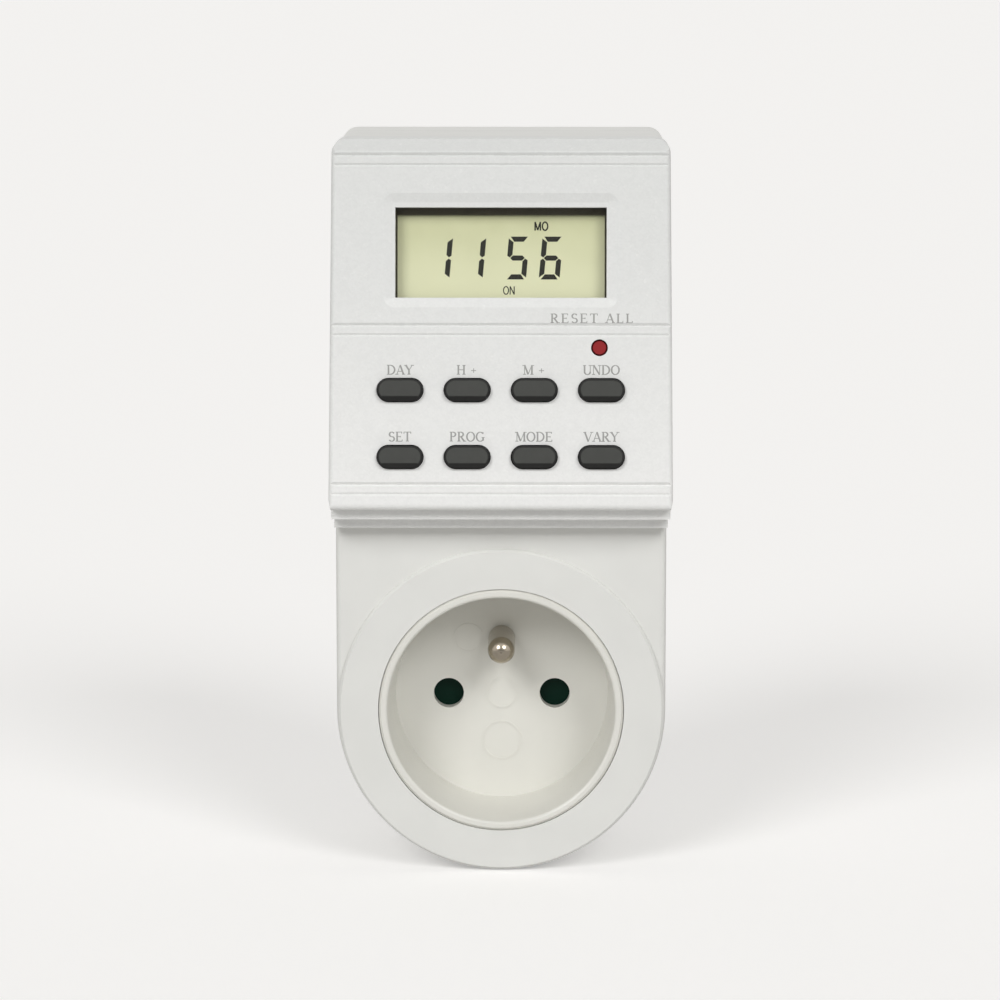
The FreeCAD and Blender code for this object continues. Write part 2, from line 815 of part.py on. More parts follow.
def make_rear_cover():
    """The back half of the housing with the plug's boss, its pin tubes and the screw posts."""
    cover = Moulding("rear_cover")
    cover.pad(BACK, dim.rear_depth, lambda d: d.arch(HALF_WIDTH, HEAD_TOP))
    round_top_corners(cover)
    cover.round_edges(dim.back_edge_round, lambda edge: ends_at(edge, lambda p: near(-p.y, BACK)))
    cover.pocket(PARTING, dim.rear_depth - dim.back_wall, draw_housing_inside)
    cover.pad(0, BACK_INSIDE, lambda d: d.circle(Size(0), Size(0), dim.boss_radius))
    cover.round_edges(dim.back_edge_round, lambda edge: ends_at(edge, lambda p: near(p.y, 0)))
    boss_inside = dim.boss_radius - dim.boss_wall
    cover.pocket(BACK_INSIDE, BACK_INSIDE - dim.boss_end, lambda d: d.circle(Size(0), Size(0), boss_inside))
    pins = [(-HALF_PITCH, Size(0)), (HALF_PITCH, Size(0))]
    tube = dim.pin_root_radius + dim.pin_tube_wall
    cover.pad(dim.boss_end, dim.pin_tube_depth, lambda d: d.circles(pins, tube))
    contact = dim.earth_contact_bore + dim.earth_contact_wall + dim.pin_fit
    sleeve = contact + dim.earth_tube_wall
    sleeve_end = dim.boss_end + dim.earth_tube_depth

    def draw_earth_circle(drawing, radius):
        drawing.circle(Size(0), dim.earth_offset, radius)

    cover.pad(dim.boss_end, dim.earth_tube_depth, lambda d: draw_earth_circle(d, sleeve))
    tube_end = dim.boss_end + dim.pin_tube_depth
    cover.pocket(tube_end, tube_end, lambda d: d.circles(pins, dim.pin_root_radius + dim.pin_fit))
    mouth_depth = dim.pin_mouth_depth
    cover.pocket(mouth_depth, mouth_depth, lambda d: d.circles(pins, dim.pin_mouth_radius))
    cover.pocket(sleeve_end, sleeve_end, lambda d: draw_earth_circle(d, dim.earth_mouth_radius))
    cover.pocket(sleeve_end, sleeve_end - dim.earth_mouth_depth, lambda d: draw_earth_circle(d, contact))
    cover.pocket(BACK, dim.boss_depth, draw_clip_channels)
    cover.pocket(BACK_INSIDE, dim.back_wall, draw_clip_slots)
    inner_depth = PARTING - BACK_INSIDE
    cover.pad(BACK_INSIDE, inner_depth, lambda d: d.circles(cover_posts(), dim.cover_post_radius))
    shank = dim.cover_screw_radius + dim.screw_play
    cover.pocket(PARTING, dim.rear_depth, lambda d: d.circles(cover_posts(), shank))
    sink = dim.cover_screw_head_radius + dim.screw_play
    sunk = dim.cover_screw_sink
    cover.pocket(BACK + sunk, sunk, lambda d: d.circles(cover_posts(), sink))
    cover.pad(BACK_INSIDE, dim.power_standoff, lambda d: d.circles(power_posts(), dim.power_post_radius))
    pilot = dim.socket_screw_radius + dim.thread_fit
    cover.pocket(POWER_BACK, dim.power_standoff, lambda d: d.circles(power_posts(), pilot))
    return cover.body


def round_top_corners(moulding):
    def at_corner(point):
        return near(point.z, HEAD_TOP) and near(abs(point.x), HALF_WIDTH)

    def along_corner(edge):
        return ends_at(edge, at_corner) and near(edge.Vertexes[0].X, edge.Vertexes[-1].X)

    moulding.round_edges(dim.corner_radius, along_corner)


def draw_housing_inside(drawing):
    drawing.arch(HALF_WIDTH - dim.wall, HEAD_TOP - dim.wall)


def draw_clip_channels(drawing):
    half = dim.channel_width / 2
    edge = dim.boss_radius + 1
    drawing.rectangle(-half, dim.channel_floor, half, edge)
    drawing.rectangle(-half, -edge, half, -dim.channel_floor)


def draw_clip_slots(drawing):
    half = dim.clip_width / 2 + dim.clip_play
    edge = dim.channel_floor + dim.clip_thickness + 2 * dim.clip_play
    drawing.rectangle(-half, dim.channel_floor, half, edge)
    drawing.rectangle(-half, -edge, half, -dim.channel_floor)


def power_posts():
    low = POWER_LOW + dim.power_post_margin
    high = POWER_HIGH - dim.power_post_margin
    return both_sides(POWER_HALF_WIDTH - dim.power_post_side, [low, high])


def insert_posts():
    """Three screw places around the outlet: one below, two above to the sides."""
    across = EAR_REACH * math.cos(math.radians(30))
    return [(Size(0), -EAR_REACH), (across, EAR_REACH / 2), (-across, EAR_REACH / 2)]


def on_disc_face(edge):
    return ends_at(edge, lambda point: near(-point.y, DISC_FACE))


def make_front_cover():
    """The front half: a flat lower face with a raised disc, and a deck that carries the head."""
    cover = Moulding("front_cover")
    cover.pad(PARTING, dim.front_depth, lambda d: d.arch(HALF_WIDTH, HEAD_TOP))
    round_top_corners(cover)
    shoulder = STEPS_BOTTOM - dim.head_seam
    beyond = HALF_WIDTH + 1
    cover.pocket(LOW_FACE, dim.deck_setback, lambda d: d.rectangle(-beyond, shoulder, beyond, HEAD_TOP + 1))

    def on_low_rim(point):
        return near(-point.y, LOW_FACE)

    def across_the_face(edge):
        return ends_at(edge, lambda p: near(p.z, shoulder))

    def around_the_face(edge):
        return ends_at(edge, on_low_rim) and not across_the_face(edge)

    cover.round_edges(dim.front_edge_round, around_the_face)
    cover.pocket(DECK_BACK, DECK_BACK - PARTING, draw_housing_inside)
    inside = HALF_WIDTH - dim.wall
    cover.pocket(FRONT_INSIDE, FRONT_INSIDE - DECK_BACK, lambda d: d.arch(inside, shoulder - dim.wall))
    half = HALF_WIDTH - dim.deck_opening_side
    low, high = HEAD_BOTTOM + dim.deck_opening_rise, HEAD_TOP - dim.deck_opening_drop
    cover.pocket(DECK_FACE, dim.deck_thickness, lambda d: d.rectangle(-half, low, half, high))
    disc_depth = DISC_FACE - FRONT_INSIDE
    cover.pad(FRONT_INSIDE, disc_depth, lambda d: d.circle(Size(0), Size(0), DISC_RADIUS))
    cover.round_edges(dim.disc_edge, on_disc_face, "Chamfer")
    hole = OUTLET_RADIUS + dim.insert_fit
    cover.pocket(DISC_FACE, disc_depth, lambda d: d.circle(Size(0), Size(0), hole))
    posts = cover_posts()
    cover.pad(PARTING, FRONT_INSIDE - PARTING, lambda d: d.circles(posts[:2], dim.cover_post_radius))
    cover.pad(PARTING, DECK_BACK - PARTING, lambda d: d.circles(posts[2:], dim.cover_post_radius))
    depth = dim.cover_screw_grip + dim.pilot_spare
    pilot = dim.cover_screw_radius + dim.thread_fit
    cover.pocket(PARTING + depth, depth, lambda d: d.circles(posts, pilot))
    post = cover.pad(FRONT_INSIDE - dim.insert_post_depth, dim.insert_post_depth,
                     lambda d: d.circle(Size(0), -EAR_REACH, dim.insert_post_radius))
    cover.turn_copies(post, 3)
    thread = dim.socket_screw_radius + dim.thread_fit
    bored = dim.insert_screw_grip - dim.insert_ear_depth + dim.pilot_spare
    post_end = FRONT_INSIDE - dim.insert_post_depth
    cover.pocket(post_end + bored, bored, lambda d: d.circles(insert_posts(), thread))
    clear = dim.fascia_screw_radius + dim.screw_play
    cover.pocket(DECK_FACE, dim.deck_thickness, lambda d: d.circles(fascia_posts(), clear))
    return cover.body


def face_point(up, out):
    """Depth and height of a point on the head's face, as a side profile takes them."""
    return (-FACE.forward(as_size(up), as_size(out)), FACE.height(as_size(up), as_size(out)))


def draw_head_profile(drawing):
    """Side view: stepped cove below, tilted face, bevel above, open towards the deck."""
    low_step = LOW_FACE + dim.step_run
    high_step = low_step + dim.step_run
    face_top = face_point(FACE_LENGTH, 0)
    drawing.polygon([
        (-DECK_FACE, STEPS_BOTTOM),
        (-low_step, STEPS_BOTTOM),
        (-low_step, STEPS_BOTTOM + dim.step_rise),
        (-high_step, STEPS_BOTTOM + dim.step_rise),
        (-high_step, HEAD_BOTTOM),
        (-FACE.out, HEAD_BOTTOM),
        face_top,
        (face_top[0] + dim.bevel_run, HEAD_TOP),
        (-DECK_FACE, HEAD_TOP),
    ])


def draw_head_cavity(drawing):
    """The same view, one wall thickness inside."""
    wall = dim.head_wall
    low_step = LOW_FACE + dim.step_run - wall
    high_step = low_step + dim.step_run
    low_inside = HEAD_BOTTOM + wall
    lean_drop = wall * sine(dim.head_tilt)
    low_up = (wall + lean_drop) / cosine(dim.head_tilt)
    high_up = (HEAD_TOP - wall - HEAD_BOTTOM + lean_drop) / cosine(dim.head_tilt)
    drawing.polygon([
        (-DECK_FACE, STEPS_BOTTOM + wall),
        (-low_step, STEPS_BOTTOM + wall),
        (-low_step, STEPS_BOTTOM + wall + dim.step_rise),
        (-high_step, STEPS_BOTTOM + wall + dim.step_rise),
        (-high_step, low_inside),
        face_point(low_up, -wall),
        face_point(high_up, -wall),
        (-DECK_FACE, HEAD_TOP - wall),
    ])


def draw_head_front(drawing):
    """All that lies outside the head's front outline: steps, slight taper, round top corners."""
    margin = 4
    radius = dim.bevel_rise + dim.corner_below_bevel
    low_half = HEAD_HALF_WIDTH - 2 * dim.step_inset
    high_half = HEAD_HALF_WIDTH - dim.step_inset
    top_half = HEAD_HALF_WIDTH - dim.head_narrowing
    low_step = STEPS_BOTTOM + dim.step_rise
    right = [
        (low_half, STEPS_BOTTOM - 1),
        (low_half, low_step),
        (high_half, low_step),
        (high_half, HEAD_BOTTOM),
        (HEAD_HALF_WIDTH, HEAD_BOTTOM),
    ]
    left = [(-across, up) for across, up in reversed(right)]
    shoulder = HEAD_TOP - radius
    pieces = [drawing.line(right[i], right[i + 1]) for i in range(len(right) - 1)]
    for piece, corner in zip(pieces, right):
        drawing.tie(piece, 1, corner[0], corner[1])
    rising = drawing.line(right[-1], (top_half, shoulder))
    drawing.tie(rising, 1, right[-1][0], right[-1][1])
    high_right = drawing.arc(top_half - radius, shoulder, radius, 0, 90)
    top = drawing.line((top_half - radius, HEAD_TOP), (radius - top_half, HEAD_TOP))
    high_left = drawing.arc(radius - top_half, shoulder, radius, 90, 180)
    falling = drawing.line((-top_half, shoulder), left[0])
    down = [drawing.line(left[i], left[i + 1]) for i in range(len(left) - 1)]
    for piece, corner in zip(down, left):
        drawing.tie(piece, 1, corner[0], corner[1])
    closing = drawing.line(left[-1], right[0])
    drawing.tie(closing, 1, left[-1][0], left[-1][1])
    straight = pieces + [rising]
    for first, second in zip(straight, straight[1:]):
        drawing.join("Coincident", first, 2, second, 1)
    drawing.join("Tangent", rising, 2, high_right, 1)
    drawing.join("Tangent", high_right, 2, top, 1)
    drawing.join("Tangent", top, 2, high_left, 1)
    drawing.join("Tangent", high_left, 2, falling, 1)
    straight = [falling] + down + [closing, pieces[0]]
    for first, second in zip(straight, straight[1:]):
        drawing.join("Coincident", first, 2, second, 1)
    edge = HEAD_HALF_WIDTH + margin
    drawing.rectangle(-edge, STEPS_BOTTOM - margin, edge, HEAD_TOP + margin)


def draw_low_corners(drawing):
    """The slivers that slant the face's lower corners in to the upper step."""
    margin = 1
    inner, outer = HEAD_HALF_WIDTH - dim.step_inset, HEAD_HALF_WIDTH + margin
    top = HEAD_BOTTOM + dim.head_corner_rise
    for side in (1, -1):
        drawing.polygon([
            (side * inner, HEAD_BOTTOM - dim.step_rise / 2),
            (side * inner, HEAD_BOTTOM),
            (side * HEAD_HALF_WIDTH, top),
            (side * outer, top),
            (side * outer, HEAD_BOTTOM - dim.step_rise / 2),
        ])


def draw_grooves(drawing):
    """Three pairs of V grooves, the upper of each pair wide and the lower fine."""
    starts = [FACE_LENGTH - dim.top_groove_drop, MIDDLE_GROOVE, dim.bottom_groove_up]
    for up in starts:
        for centre, width, depth in (
            (up, dim.groove_width, dim.groove_depth),
            (up - dim.groove_spacing, dim.fine_groove_width, dim.fine_groove_depth),
        ):
            half = width / 2
            drawing.polygon([
                face_point(centre - half, 0),
                face_point(centre, -depth),
                face_point(centre + half, 0),
                face_point(centre, depth),
            ])


def window_box():
    """Left, low, right and high edges of the display's opening on the face."""
    return (-dim.window_half_width, WINDOW_LOW, dim.window_half_width, WINDOW_HIGH)


def draw_bezel(drawing):
    left, low, right, high = window_box()
    drawing.rounded_rectangle(left - dim.bezel_side, low - dim.bezel_below, right + dim.bezel_side,
                              high + dim.bezel_above, dim.bezel_corner)


def key_places():
    """Across and up of the keys' centres on the face, upper row first."""
    columns = [(column - 1.5) * dim.key_column_pitch for column in range(4)]
    return [(across, up) for up in (KEY_HIGH_ROW, KEY_LOW_ROW) for across in columns]


def draw_slots(drawing, places, length, height):
    for across, up in places:
        drawing.slot(across, up, length, height)


def fascia_posts():
    """Across and up of the posts that carry the head, the lower two first."""
    low, high = HEAD_BOTTOM + dim.fascia_post_rise, HEAD_TOP - dim.fascia_post_drop
    return both_sides(FASCIA_POST_ACROSS, [low, high])


def make_display_fascia():
    """The head: a hollow wedge with windows for the display, eight keys and the reset button."""
    fascia = Moulding("display_fascia")
    fascia.across("Pad", 2 * HEAD_HALF_WIDTH, draw_head_profile)
    beyond = FACE.out + 2
    fascia.pocket(beyond, beyond - DECK_FACE + 1, draw_head_front)

    def on_face_rim(edge):
        on_face = ends_at(edge, lambda p: near(FACE.off(p), 0))
        below_bevel = min(vertex.Z for vertex in edge.Vertexes) < HEAD_BOTTOM.value + 1
        return on_face and below_bevel

    fascia.round_edges(dim.head_edge_round, on_face_rim)
    fascia.pocket(beyond, beyond - DECK_FACE, draw_low_corners)
    inside = 2 * (HEAD_HALF_WIDTH - dim.head_narrowing - dim.head_wall)
    fascia.across("Pocket", inside, draw_head_cavity)
    fascia.across("Pocket", 2 * (HEAD_HALF_WIDTH - dim.groove_end), draw_grooves)
    fascia.pocket(0, dim.bezel_depth, draw_bezel, FACE, -dim.bezel_slope)
    fascia.pocket(0, dim.head_wall + 1, lambda d: d.rectangle(*window_box()), FACE)
    play = 2 * dim.key_play
    fascia.pocket(0, dim.head_wall + 1,
                  lambda d: draw_slots(d, key_places(), dim.key_length + play, dim.key_height + play), FACE)
    fascia.pocket(0, dim.head_wall + 1,
                  lambda d: d.circle(dim.reset_across, RESET_UP, dim.reset_hole_radius), FACE)
    posts = fascia_posts()
    for places in (posts[:2], posts[2:]):
        up = places[0][1]
        reach = FACE.out - (up - HEAD_BOTTOM) * tangent(dim.head_tilt) - dim.head_wall / 2
        fascia.pad(DECK_FACE, reach - DECK_FACE, lambda d: d.circles(places, dim.fascia_post_radius))
    grip = dim.fascia_screw_grip + dim.pilot_spare
    pilot = dim.fascia_screw_radius + dim.thread_fit
    fascia.pocket(DECK_FACE + grip, grip, lambda d: d.circles(posts, pilot))
    fascia.pad(BOARD_FRONT, dim.board_drop - dim.head_wall / 2,
               lambda d: d.circles(board_posts(), dim.board_boss_radius), FACE)
    thread = dim.board_screw_radius + dim.thread_fit
    bored = dim.board_screw_grip + dim.pilot_spare
    fascia.pocket(BOARD_FRONT + bored, bored, lambda d: d.circles(board_posts(), thread), FACE)
    return fascia.body


def board_posts():
    """Two posts between the rows of keys and two above the display."""
    low, high = (KEY_LOW_ROW + KEY_HIGH_ROW) / 2, BOARD_HIGH - dim.board_boss_drop
    return both_sides(BOARD_HALF_WIDTH - dim.board_boss_side, [low, high])


def make_socket_insert():
    """The outlet: a cup whose bore narrows to its floor, with three ears that screw it in."""
    insert = Moulding("socket_insert")
    rim_depth = dim.insert_flange_depth
    insert.pad(DISC_FACE - rim_depth, rim_depth, lambda d: d.circle(Size(0), Size(0), OUTLET_RADIUS))
    insert.round_edges(dim.disc_edge, on_disc_face, "Chamfer")
    barrel_depth = FRONT_INSIDE - FLOOR_BACK
    insert.pad(FLOOR_BACK, barrel_depth, lambda d: d.circle(Size(0), Size(0), BARREL_RADIUS))
    slope = arctangent(dim.well_taper / dim.well_depth)

    def draw_mouth(drawing):
        drawing.circle(Size(0), Size(0), dim.mouth_radius)

    insert.pocket(DISC_FACE, dim.well_depth, draw_mouth, FRONT, -slope)

    def on_mouth(point):
        return near(-point.y, DISC_FACE) and near(math.hypot(point.x, point.z), dim.mouth_radius)

    insert.round_edges(dim.rim_round, lambda edge: ends_at(edge, on_mouth))
    ear_front = FRONT_INSIDE - dim.insert_post_depth
    ear_back = ear_front - dim.insert_ear_depth
    ear = insert.pad(ear_back, dim.insert_ear_depth, lambda d: draw_ear(d, dim.mouth_radius))
    insert.turn_copies(ear, 3)
    clear = dim.socket_screw_radius + dim.screw_play
    insert.pocket(ear_front, dim.insert_ear_depth, lambda d: d.circles(insert_posts(), clear))
    holes = [(-HALF_PITCH, Size(0)), (HALF_PITCH, Size(0))]
    insert.pocket(SOCKET_FLOOR, dim.floor_thickness, lambda d: d.circles(holes, dim.outlet_hole_radius))
    root_hole = dim.pin_root_radius + dim.pin_fit
    insert.pocket(SOCKET_FLOOR, dim.floor_thickness,
                  lambda d: d.circle(Size(0), dim.earth_offset, root_hole))
    insert.pad(SOCKET_FLOOR - dim.mark_height, 2 * dim.mark_height, draw_floor_marks)
    posts = carrier_posts()
    track = FLOOR_BACK - CARRIER_FRONT
    insert.pad(CARRIER_FRONT, track, lambda d: d.circles(posts, dim.carrier_post_radius))
    pilot = dim.socket_screw_radius + dim.thread_fit
    insert.pocket(FLOOR_BACK, track, lambda d: d.circles(posts, pilot))
    return insert.body


def carrier_posts():
    """Two screw places low on the back of the outlet's floor, between the carrier's rails."""
    rail = dim.shutter_half_length + dim.shutter_play
    across = rail - dim.carrier_post_gap - dim.carrier_post_radius
    return both_sides(across, [SPRING_LOW + dim.carrier_post_rise])


def draw_ear(drawing, inner):
    """An ear that reaches from inside the barrel's wall to beyond it, round at its end."""
    radius = dim.insert_ear_radius
    tip = drawing.arc(Size(0), -EAR_REACH, radius, 180, 360)
    right = drawing.line((radius, -EAR_REACH), (radius, -inner))
    top = drawing.line((radius, -inner), (-radius, -inner))
    left = drawing.line((-radius, -inner), (-radius, -EAR_REACH))
    drawing.join("Tangent", tip, 2, right, 1)
    drawing.join("Coincident", right, 2, top, 1)
    drawing.join("Coincident", top, 2, left, 1)
    drawing.join("Tangent", left, 2, tip, 1)
    drawing.tie(top, 1, radius, -inner)
    drawing.tie(top, 2, -radius, -inner)


def draw_floor_marks(drawing):
    """Plain raised rings on the outlet's floor."""
    for across, up, radius in (
        (Size(0), Size(0), dim.centre_mark_radius),
        (dim.earth_mark_across, dim.earth_offset, dim.earth_mark_radius),
        (Size(0), dim.low_mark_up, dim.low_mark_radius),
    ):
        drawing.ring(across, up, radius, radius - dim.mark_line)


def make_fasteners():
    """Each kind of screw is one group of separate solids."""
    cover_head = BACK + dim.cover_screw_sink
    cover_grip = PARTING - cover_head + dim.cover_screw_grip
    insert_head = FRONT_INSIDE - dim.insert_post_depth - dim.insert_ear_depth
    carrier_grip = FLOOR_BACK - CARRIER_BACK - dim.pilot_spare
    power_grip = POWER_FRONT - BACK_INSIDE - dim.pilot_spare
    cover_form = (dim.cover_screw_radius, dim.cover_screw_head_radius, dim.cover_screw_head_depth)
    fascia_form = (dim.fascia_screw_radius, dim.fascia_screw_head_radius, dim.fascia_screw_head_depth)
    small_form = (dim.socket_screw_radius, dim.socket_screw_head_radius, dim.socket_screw_head_depth)
    board_form = (dim.board_screw_radius, dim.board_screw_head_radius, dim.board_screw_head_depth)
    fascia_grip = dim.deck_thickness + dim.fascia_screw_grip
    board_grip = dim.board_thickness + dim.board_screw_grip
    insert_set = screws("insert_screw", insert_posts(), insert_head, dim.insert_screw_grip, *small_form)
    carrier_set = screws("carrier_screw", carrier_posts(), CARRIER_BACK, carrier_grip, *small_form)
    power_set = screws("power_screw", power_posts(), POWER_FRONT, power_grip, *small_form, inward=True)
    board_set = screws("display_screw", board_posts(), BOARD_BACK, board_grip, *board_form, FACE)
    return [
        group("cover_screws", screws("cover_screw", cover_posts(), cover_head, cover_grip, *cover_form)),
        group("fascia_screws", screws("fascia_screw", fascia_posts(), DECK_BACK, fascia_grip, *fascia_form)),
        group("socket_screws", insert_set + carrier_set),
        group("power_board_screws", power_set),
        group("display_board_screws", board_set),
    ]


def make_shutter():
    """The safety shutter: a bar behind the outlet's holes, sloped where the pins push it down."""
    shutter = Moulding("socket_shutter")
    half = dim.shutter_half_length
    tall = dim.shutter_half_height
    back = CARRIER_FRONT + dim.shutter_play
    shutter.pad(back, dim.shutter_thickness, lambda d: d.rectangle(-half, -tall, half, tall))
    front = back + dim.shutter_thickness

    def on_front_top(point):
        return near(-point.y, front) and near(point.z, tall)

    shutter.round_edges(dim.shutter_ramp, lambda edge: ends_at(edge, on_front_top), "Chamfer")
    peg = dim.spring_peg_width / 2
    shutter.pad(SPRING_OUT - peg, dim.spring_peg_width,
                lambda d: d.rectangle(-peg, -tall - dim.spring_peg_length, peg, -tall))
    return shutter.body


def make_shutter_spring():
    """A coil spring that lifts the shutter, its turns evenly spread over its length."""
    wire = dim.spring_wire.value
    radius = (dim.spring_radius - dim.spring_wire).value
    low = SPRING_LOW.value + wire
    length = -dim.shutter_half_height.value - SPRING_LOW.value - 2 * wire
    helix = Part.makeHelix(length / dim.spring_turns.value, length, radius)
    tangent_start = Vector(0, 1, 0)
    section = Part.Wire([Part.Edge(Part.Circle(Vector(radius, 0, 0), tangent_start, wire))])
    solid = Part.Wire(helix.Edges).makePipeShell([section], True, False)
    spring = doc.addObject("Part::Feature", "shutter_spring")
    spring.Label = "shutter_spring"
    spring.Shape = solid
    spring.Placement = Placement(Vector(0, -SPRING_OUT.value, low), Rotation())
    return spring


def make_contact_carrier():
    """Holds the shutter's track in front and the two contact chambers behind."""
    carrier = Moulding("contact_carrier")
    low, high = CARRIER_BOTTOM, dim.carrier_top
    inner = dim.shutter_half_length + dim.shutter_play
    outer = inner + dim.carrier_rail
    track = FLOOR_BACK - CARRIER_FRONT
    corner = dim.carrier_corner

    def draw_plate(drawing):
        drawing.polygon([
            (corner - outer, low),
            (outer - corner, low),
            (outer, low + corner),
            (outer, high),
            (-outer, high),
            (-outer, low + corner),
        ])

    carrier.pad(CARRIER_BACK, dim.carrier_plate + track, draw_plate)
    carrier.pocket(FLOOR_BACK, track, lambda d: d.rectangle(-inner, SPRING_LOW, inner, high))
    peg = dim.spring_peg_width / 2
    carrier.pad(SPRING_OUT - peg, dim.spring_peg_width,
                lambda d: d.rectangle(-peg, low, peg, SPRING_LOW + dim.spring_peg_length))
    chamber = dim.chamber_half
    open_half = chamber - dim.chamber_wall

    def draw_chambers(drawing, reach):
        for centre in (-HALF_PITCH, HALF_PITCH):
            drawing.rectangle(centre - reach, -reach, centre + reach, reach)

    chamber_back = CARRIER_BACK - dim.chamber_depth
    carrier.pad(chamber_back, dim.chamber_depth, lambda d: draw_chambers(d, chamber))
    carrier.pocket(CARRIER_BACK, dim.chamber_depth, lambda d: draw_chambers(d, open_half))
    passes = [(-HALF_PITCH, Size(0)), (HALF_PITCH, Size(0))]
    carrier.pocket(CARRIER_FRONT, dim.carrier_plate, lambda d: d.circles(passes, dim.contact_pass_radius))
    clear = dim.socket_screw_radius + dim.screw_play
    carrier.pocket(CARRIER_FRONT, dim.carrier_plate, lambda d: d.circles(carrier_posts(), clear))
    return carrier.body


def make_outlet_contact(label, side):
    """A folded spring contact that grips one pin of the plug put into the timer."""
    centre = side * HALF_PITCH
    half = dim.contact_half
    back = CARRIER_BACK - dim.chamber_depth
    body = block(label + "_fold", centre - half, centre + half, -half, half, back, CARRIER_BACK)
    bore = rod(label + "_bore", centre, Size(0), back - 1, dim.contact_bore, dim.chamber_depth + 2)
    slit_half = dim.contact_slit / 2
    slit = block(label + "_slit", centre - slit_half, centre + slit_half, -half - 1, Size(0), back - 1,
                 CARRIER_BACK + 1)
    grip = cut(label + "_grip", body, [bore, slit])
    tab_half = dim.contact_tab_width / 2
    tab = block(label + "_tab", centre - tab_half, centre + tab_half, dim.contact_bore, dim.contact_tab_top,
                back - dim.contact_tab_thickness, back)
    return fuse(label, [grip, tab])


def make_plug_pin(label, side):
    """One pin of the plug, its tip rounded, with a collar and a tail for its wire inside."""
    def at_tip(point):
        return near(point.y, dim.pin_length)

    centre = side * HALF_PITCH
    tube_end = dim.boss_end + dim.pin_tube_depth
    free = dim.pin_length - dim.pin_undercut
    tail_depth = dim.pin_collar_depth + dim.pin_tail_length
    shank = rod(label + "_shank", centre, Size(0), -dim.pin_length, dim.pin_radius, free)
    root = rod(label + "_root", centre, Size(0), -dim.pin_undercut, dim.pin_root_radius,
               dim.pin_undercut + tube_end)
    collar = rod(label + "_collar", centre, Size(0), tube_end, dim.pin_collar_radius, dim.pin_collar_depth)
    tail = rod(label + "_tail", centre, Size(0), tube_end, dim.pin_tail_radius, tail_depth)
    whole = fuse(label + "_blank", [shank, root, collar, tail])
    doc.recompute()
    rounded = doc.addObject("Part::Fillet", label)
    rounded.Label = label
    rounded.Base = whole
    tip = [i + 1 for i, edge in enumerate(whole.Shape.Edges) if ends_at(edge, at_tip)]
    rounded.Edges = [(number, dim.pin_tip_round.value, dim.pin_tip_round.value) for number in tip]
    return rounded


def make_ground_pin():
    """The outlet's earth pin, with a round end, a flange behind the floor and a tail."""
    ball_out = SOCKET_FLOOR + dim.ground_pin_reach - dim.pin_radius
    back = FLOOR_BACK - dim.ground_flange_depth
    start = SOCKET_FLOOR + dim.pin_undercut
    shank = rod("ground_pin_shank", Size(0), dim.earth_offset, start, dim.pin_radius, ball_out - start)
    root = rod("ground_pin_root", Size(0), dim.earth_offset, back, dim.pin_root_radius, start - back)
    ball = named("Part::Sphere", "ground_pin_ball", Radius=dim.pin_radius)
    place(ball, FRONT, Size(0), dim.earth_offset, ball_out)
    flange = rod("ground_pin_flange", Size(0), dim.earth_offset, back, dim.ground_flange_radius,
                 dim.ground_flange_depth)
    tail = rod("ground_pin_tail", Size(0), dim.earth_offset, back - dim.ground_tail_length,
               dim.ground_tail_radius, dim.ground_tail_length)
    return fuse("ground_pin", [shank, root, ball, flange, tail])


def make_earth_parts():
    """The earth path: contact for the wall's pin, side clips, their strap and the lead forward."""
    bore = dim.earth_contact_bore
    outer = bore + dim.earth_contact_wall
    sleeve_end = dim.boss_end + dim.earth_tube_depth
    low = dim.earth_mouth_depth
    tube = rod("earth_socket_tube", Size(0), dim.earth_offset, low, outer, sleeve_end - low)
    relief_end = sleeve_end - dim.earth_contact_end
    relief_start = relief_end - dim.earth_relief_depth
    hollow = rod("earth_socket_bore", Size(0), dim.earth_offset, low - 1, bore, relief_start - low + 1)
    relief = rod("earth_socket_relief", Size(0), dim.earth_offset, relief_start,
                 bore + dim.earth_relief_width, dim.earth_relief_depth)
    strap_back = BACK_INSIDE
    tail = rod("earth_socket_tail", Size(0), dim.earth_offset, sleeve_end, dim.ground_tail_radius,
               strap_back - sleeve_end)
    socket = fuse("earth_socket", [cut("earth_socket_cup", tube, [hollow, relief]), tail])
    half = dim.clip_width / 2
    near_edge = dim.channel_floor + dim.clip_play
    far_edge = near_edge + dim.clip_thickness
    strap_front = strap_back + dim.clip_thickness
    strips = [
        block("high_clip", -half, half, near_edge, far_edge, dim.clip_end_gap, strap_front),
        block("low_clip", -half, half, -far_edge, -near_edge, dim.clip_end_gap, strap_front),
        block("clip_strap", -half, half, -far_edge, far_edge, strap_back, strap_front),
    ]
    clips = fuse("side_earth_clips", strips)
    lead_end = FLOOR_BACK - dim.ground_flange_depth - dim.ground_tail_length
    lead_length = lead_end - strap_front
    lead = rod("earth_lead", Size(0), dim.earth_offset, strap_front, dim.wire_radius, lead_length)
    return [socket, clips, lead]


def make_power_board():
    """The mains board on four stand-offs of the rear cover."""
    board = Moulding("power_board")
    half = POWER_HALF_WIDTH
    board.pad(POWER_BACK, dim.power_board_thickness,
              lambda d: d.rectangle(-half, POWER_LOW, half, POWER_HIGH))
    clear = dim.socket_screw_radius + dim.screw_play
    board.pocket(POWER_FRONT, dim.power_board_thickness, lambda d: d.circles(power_posts(), clear))
    return board.body


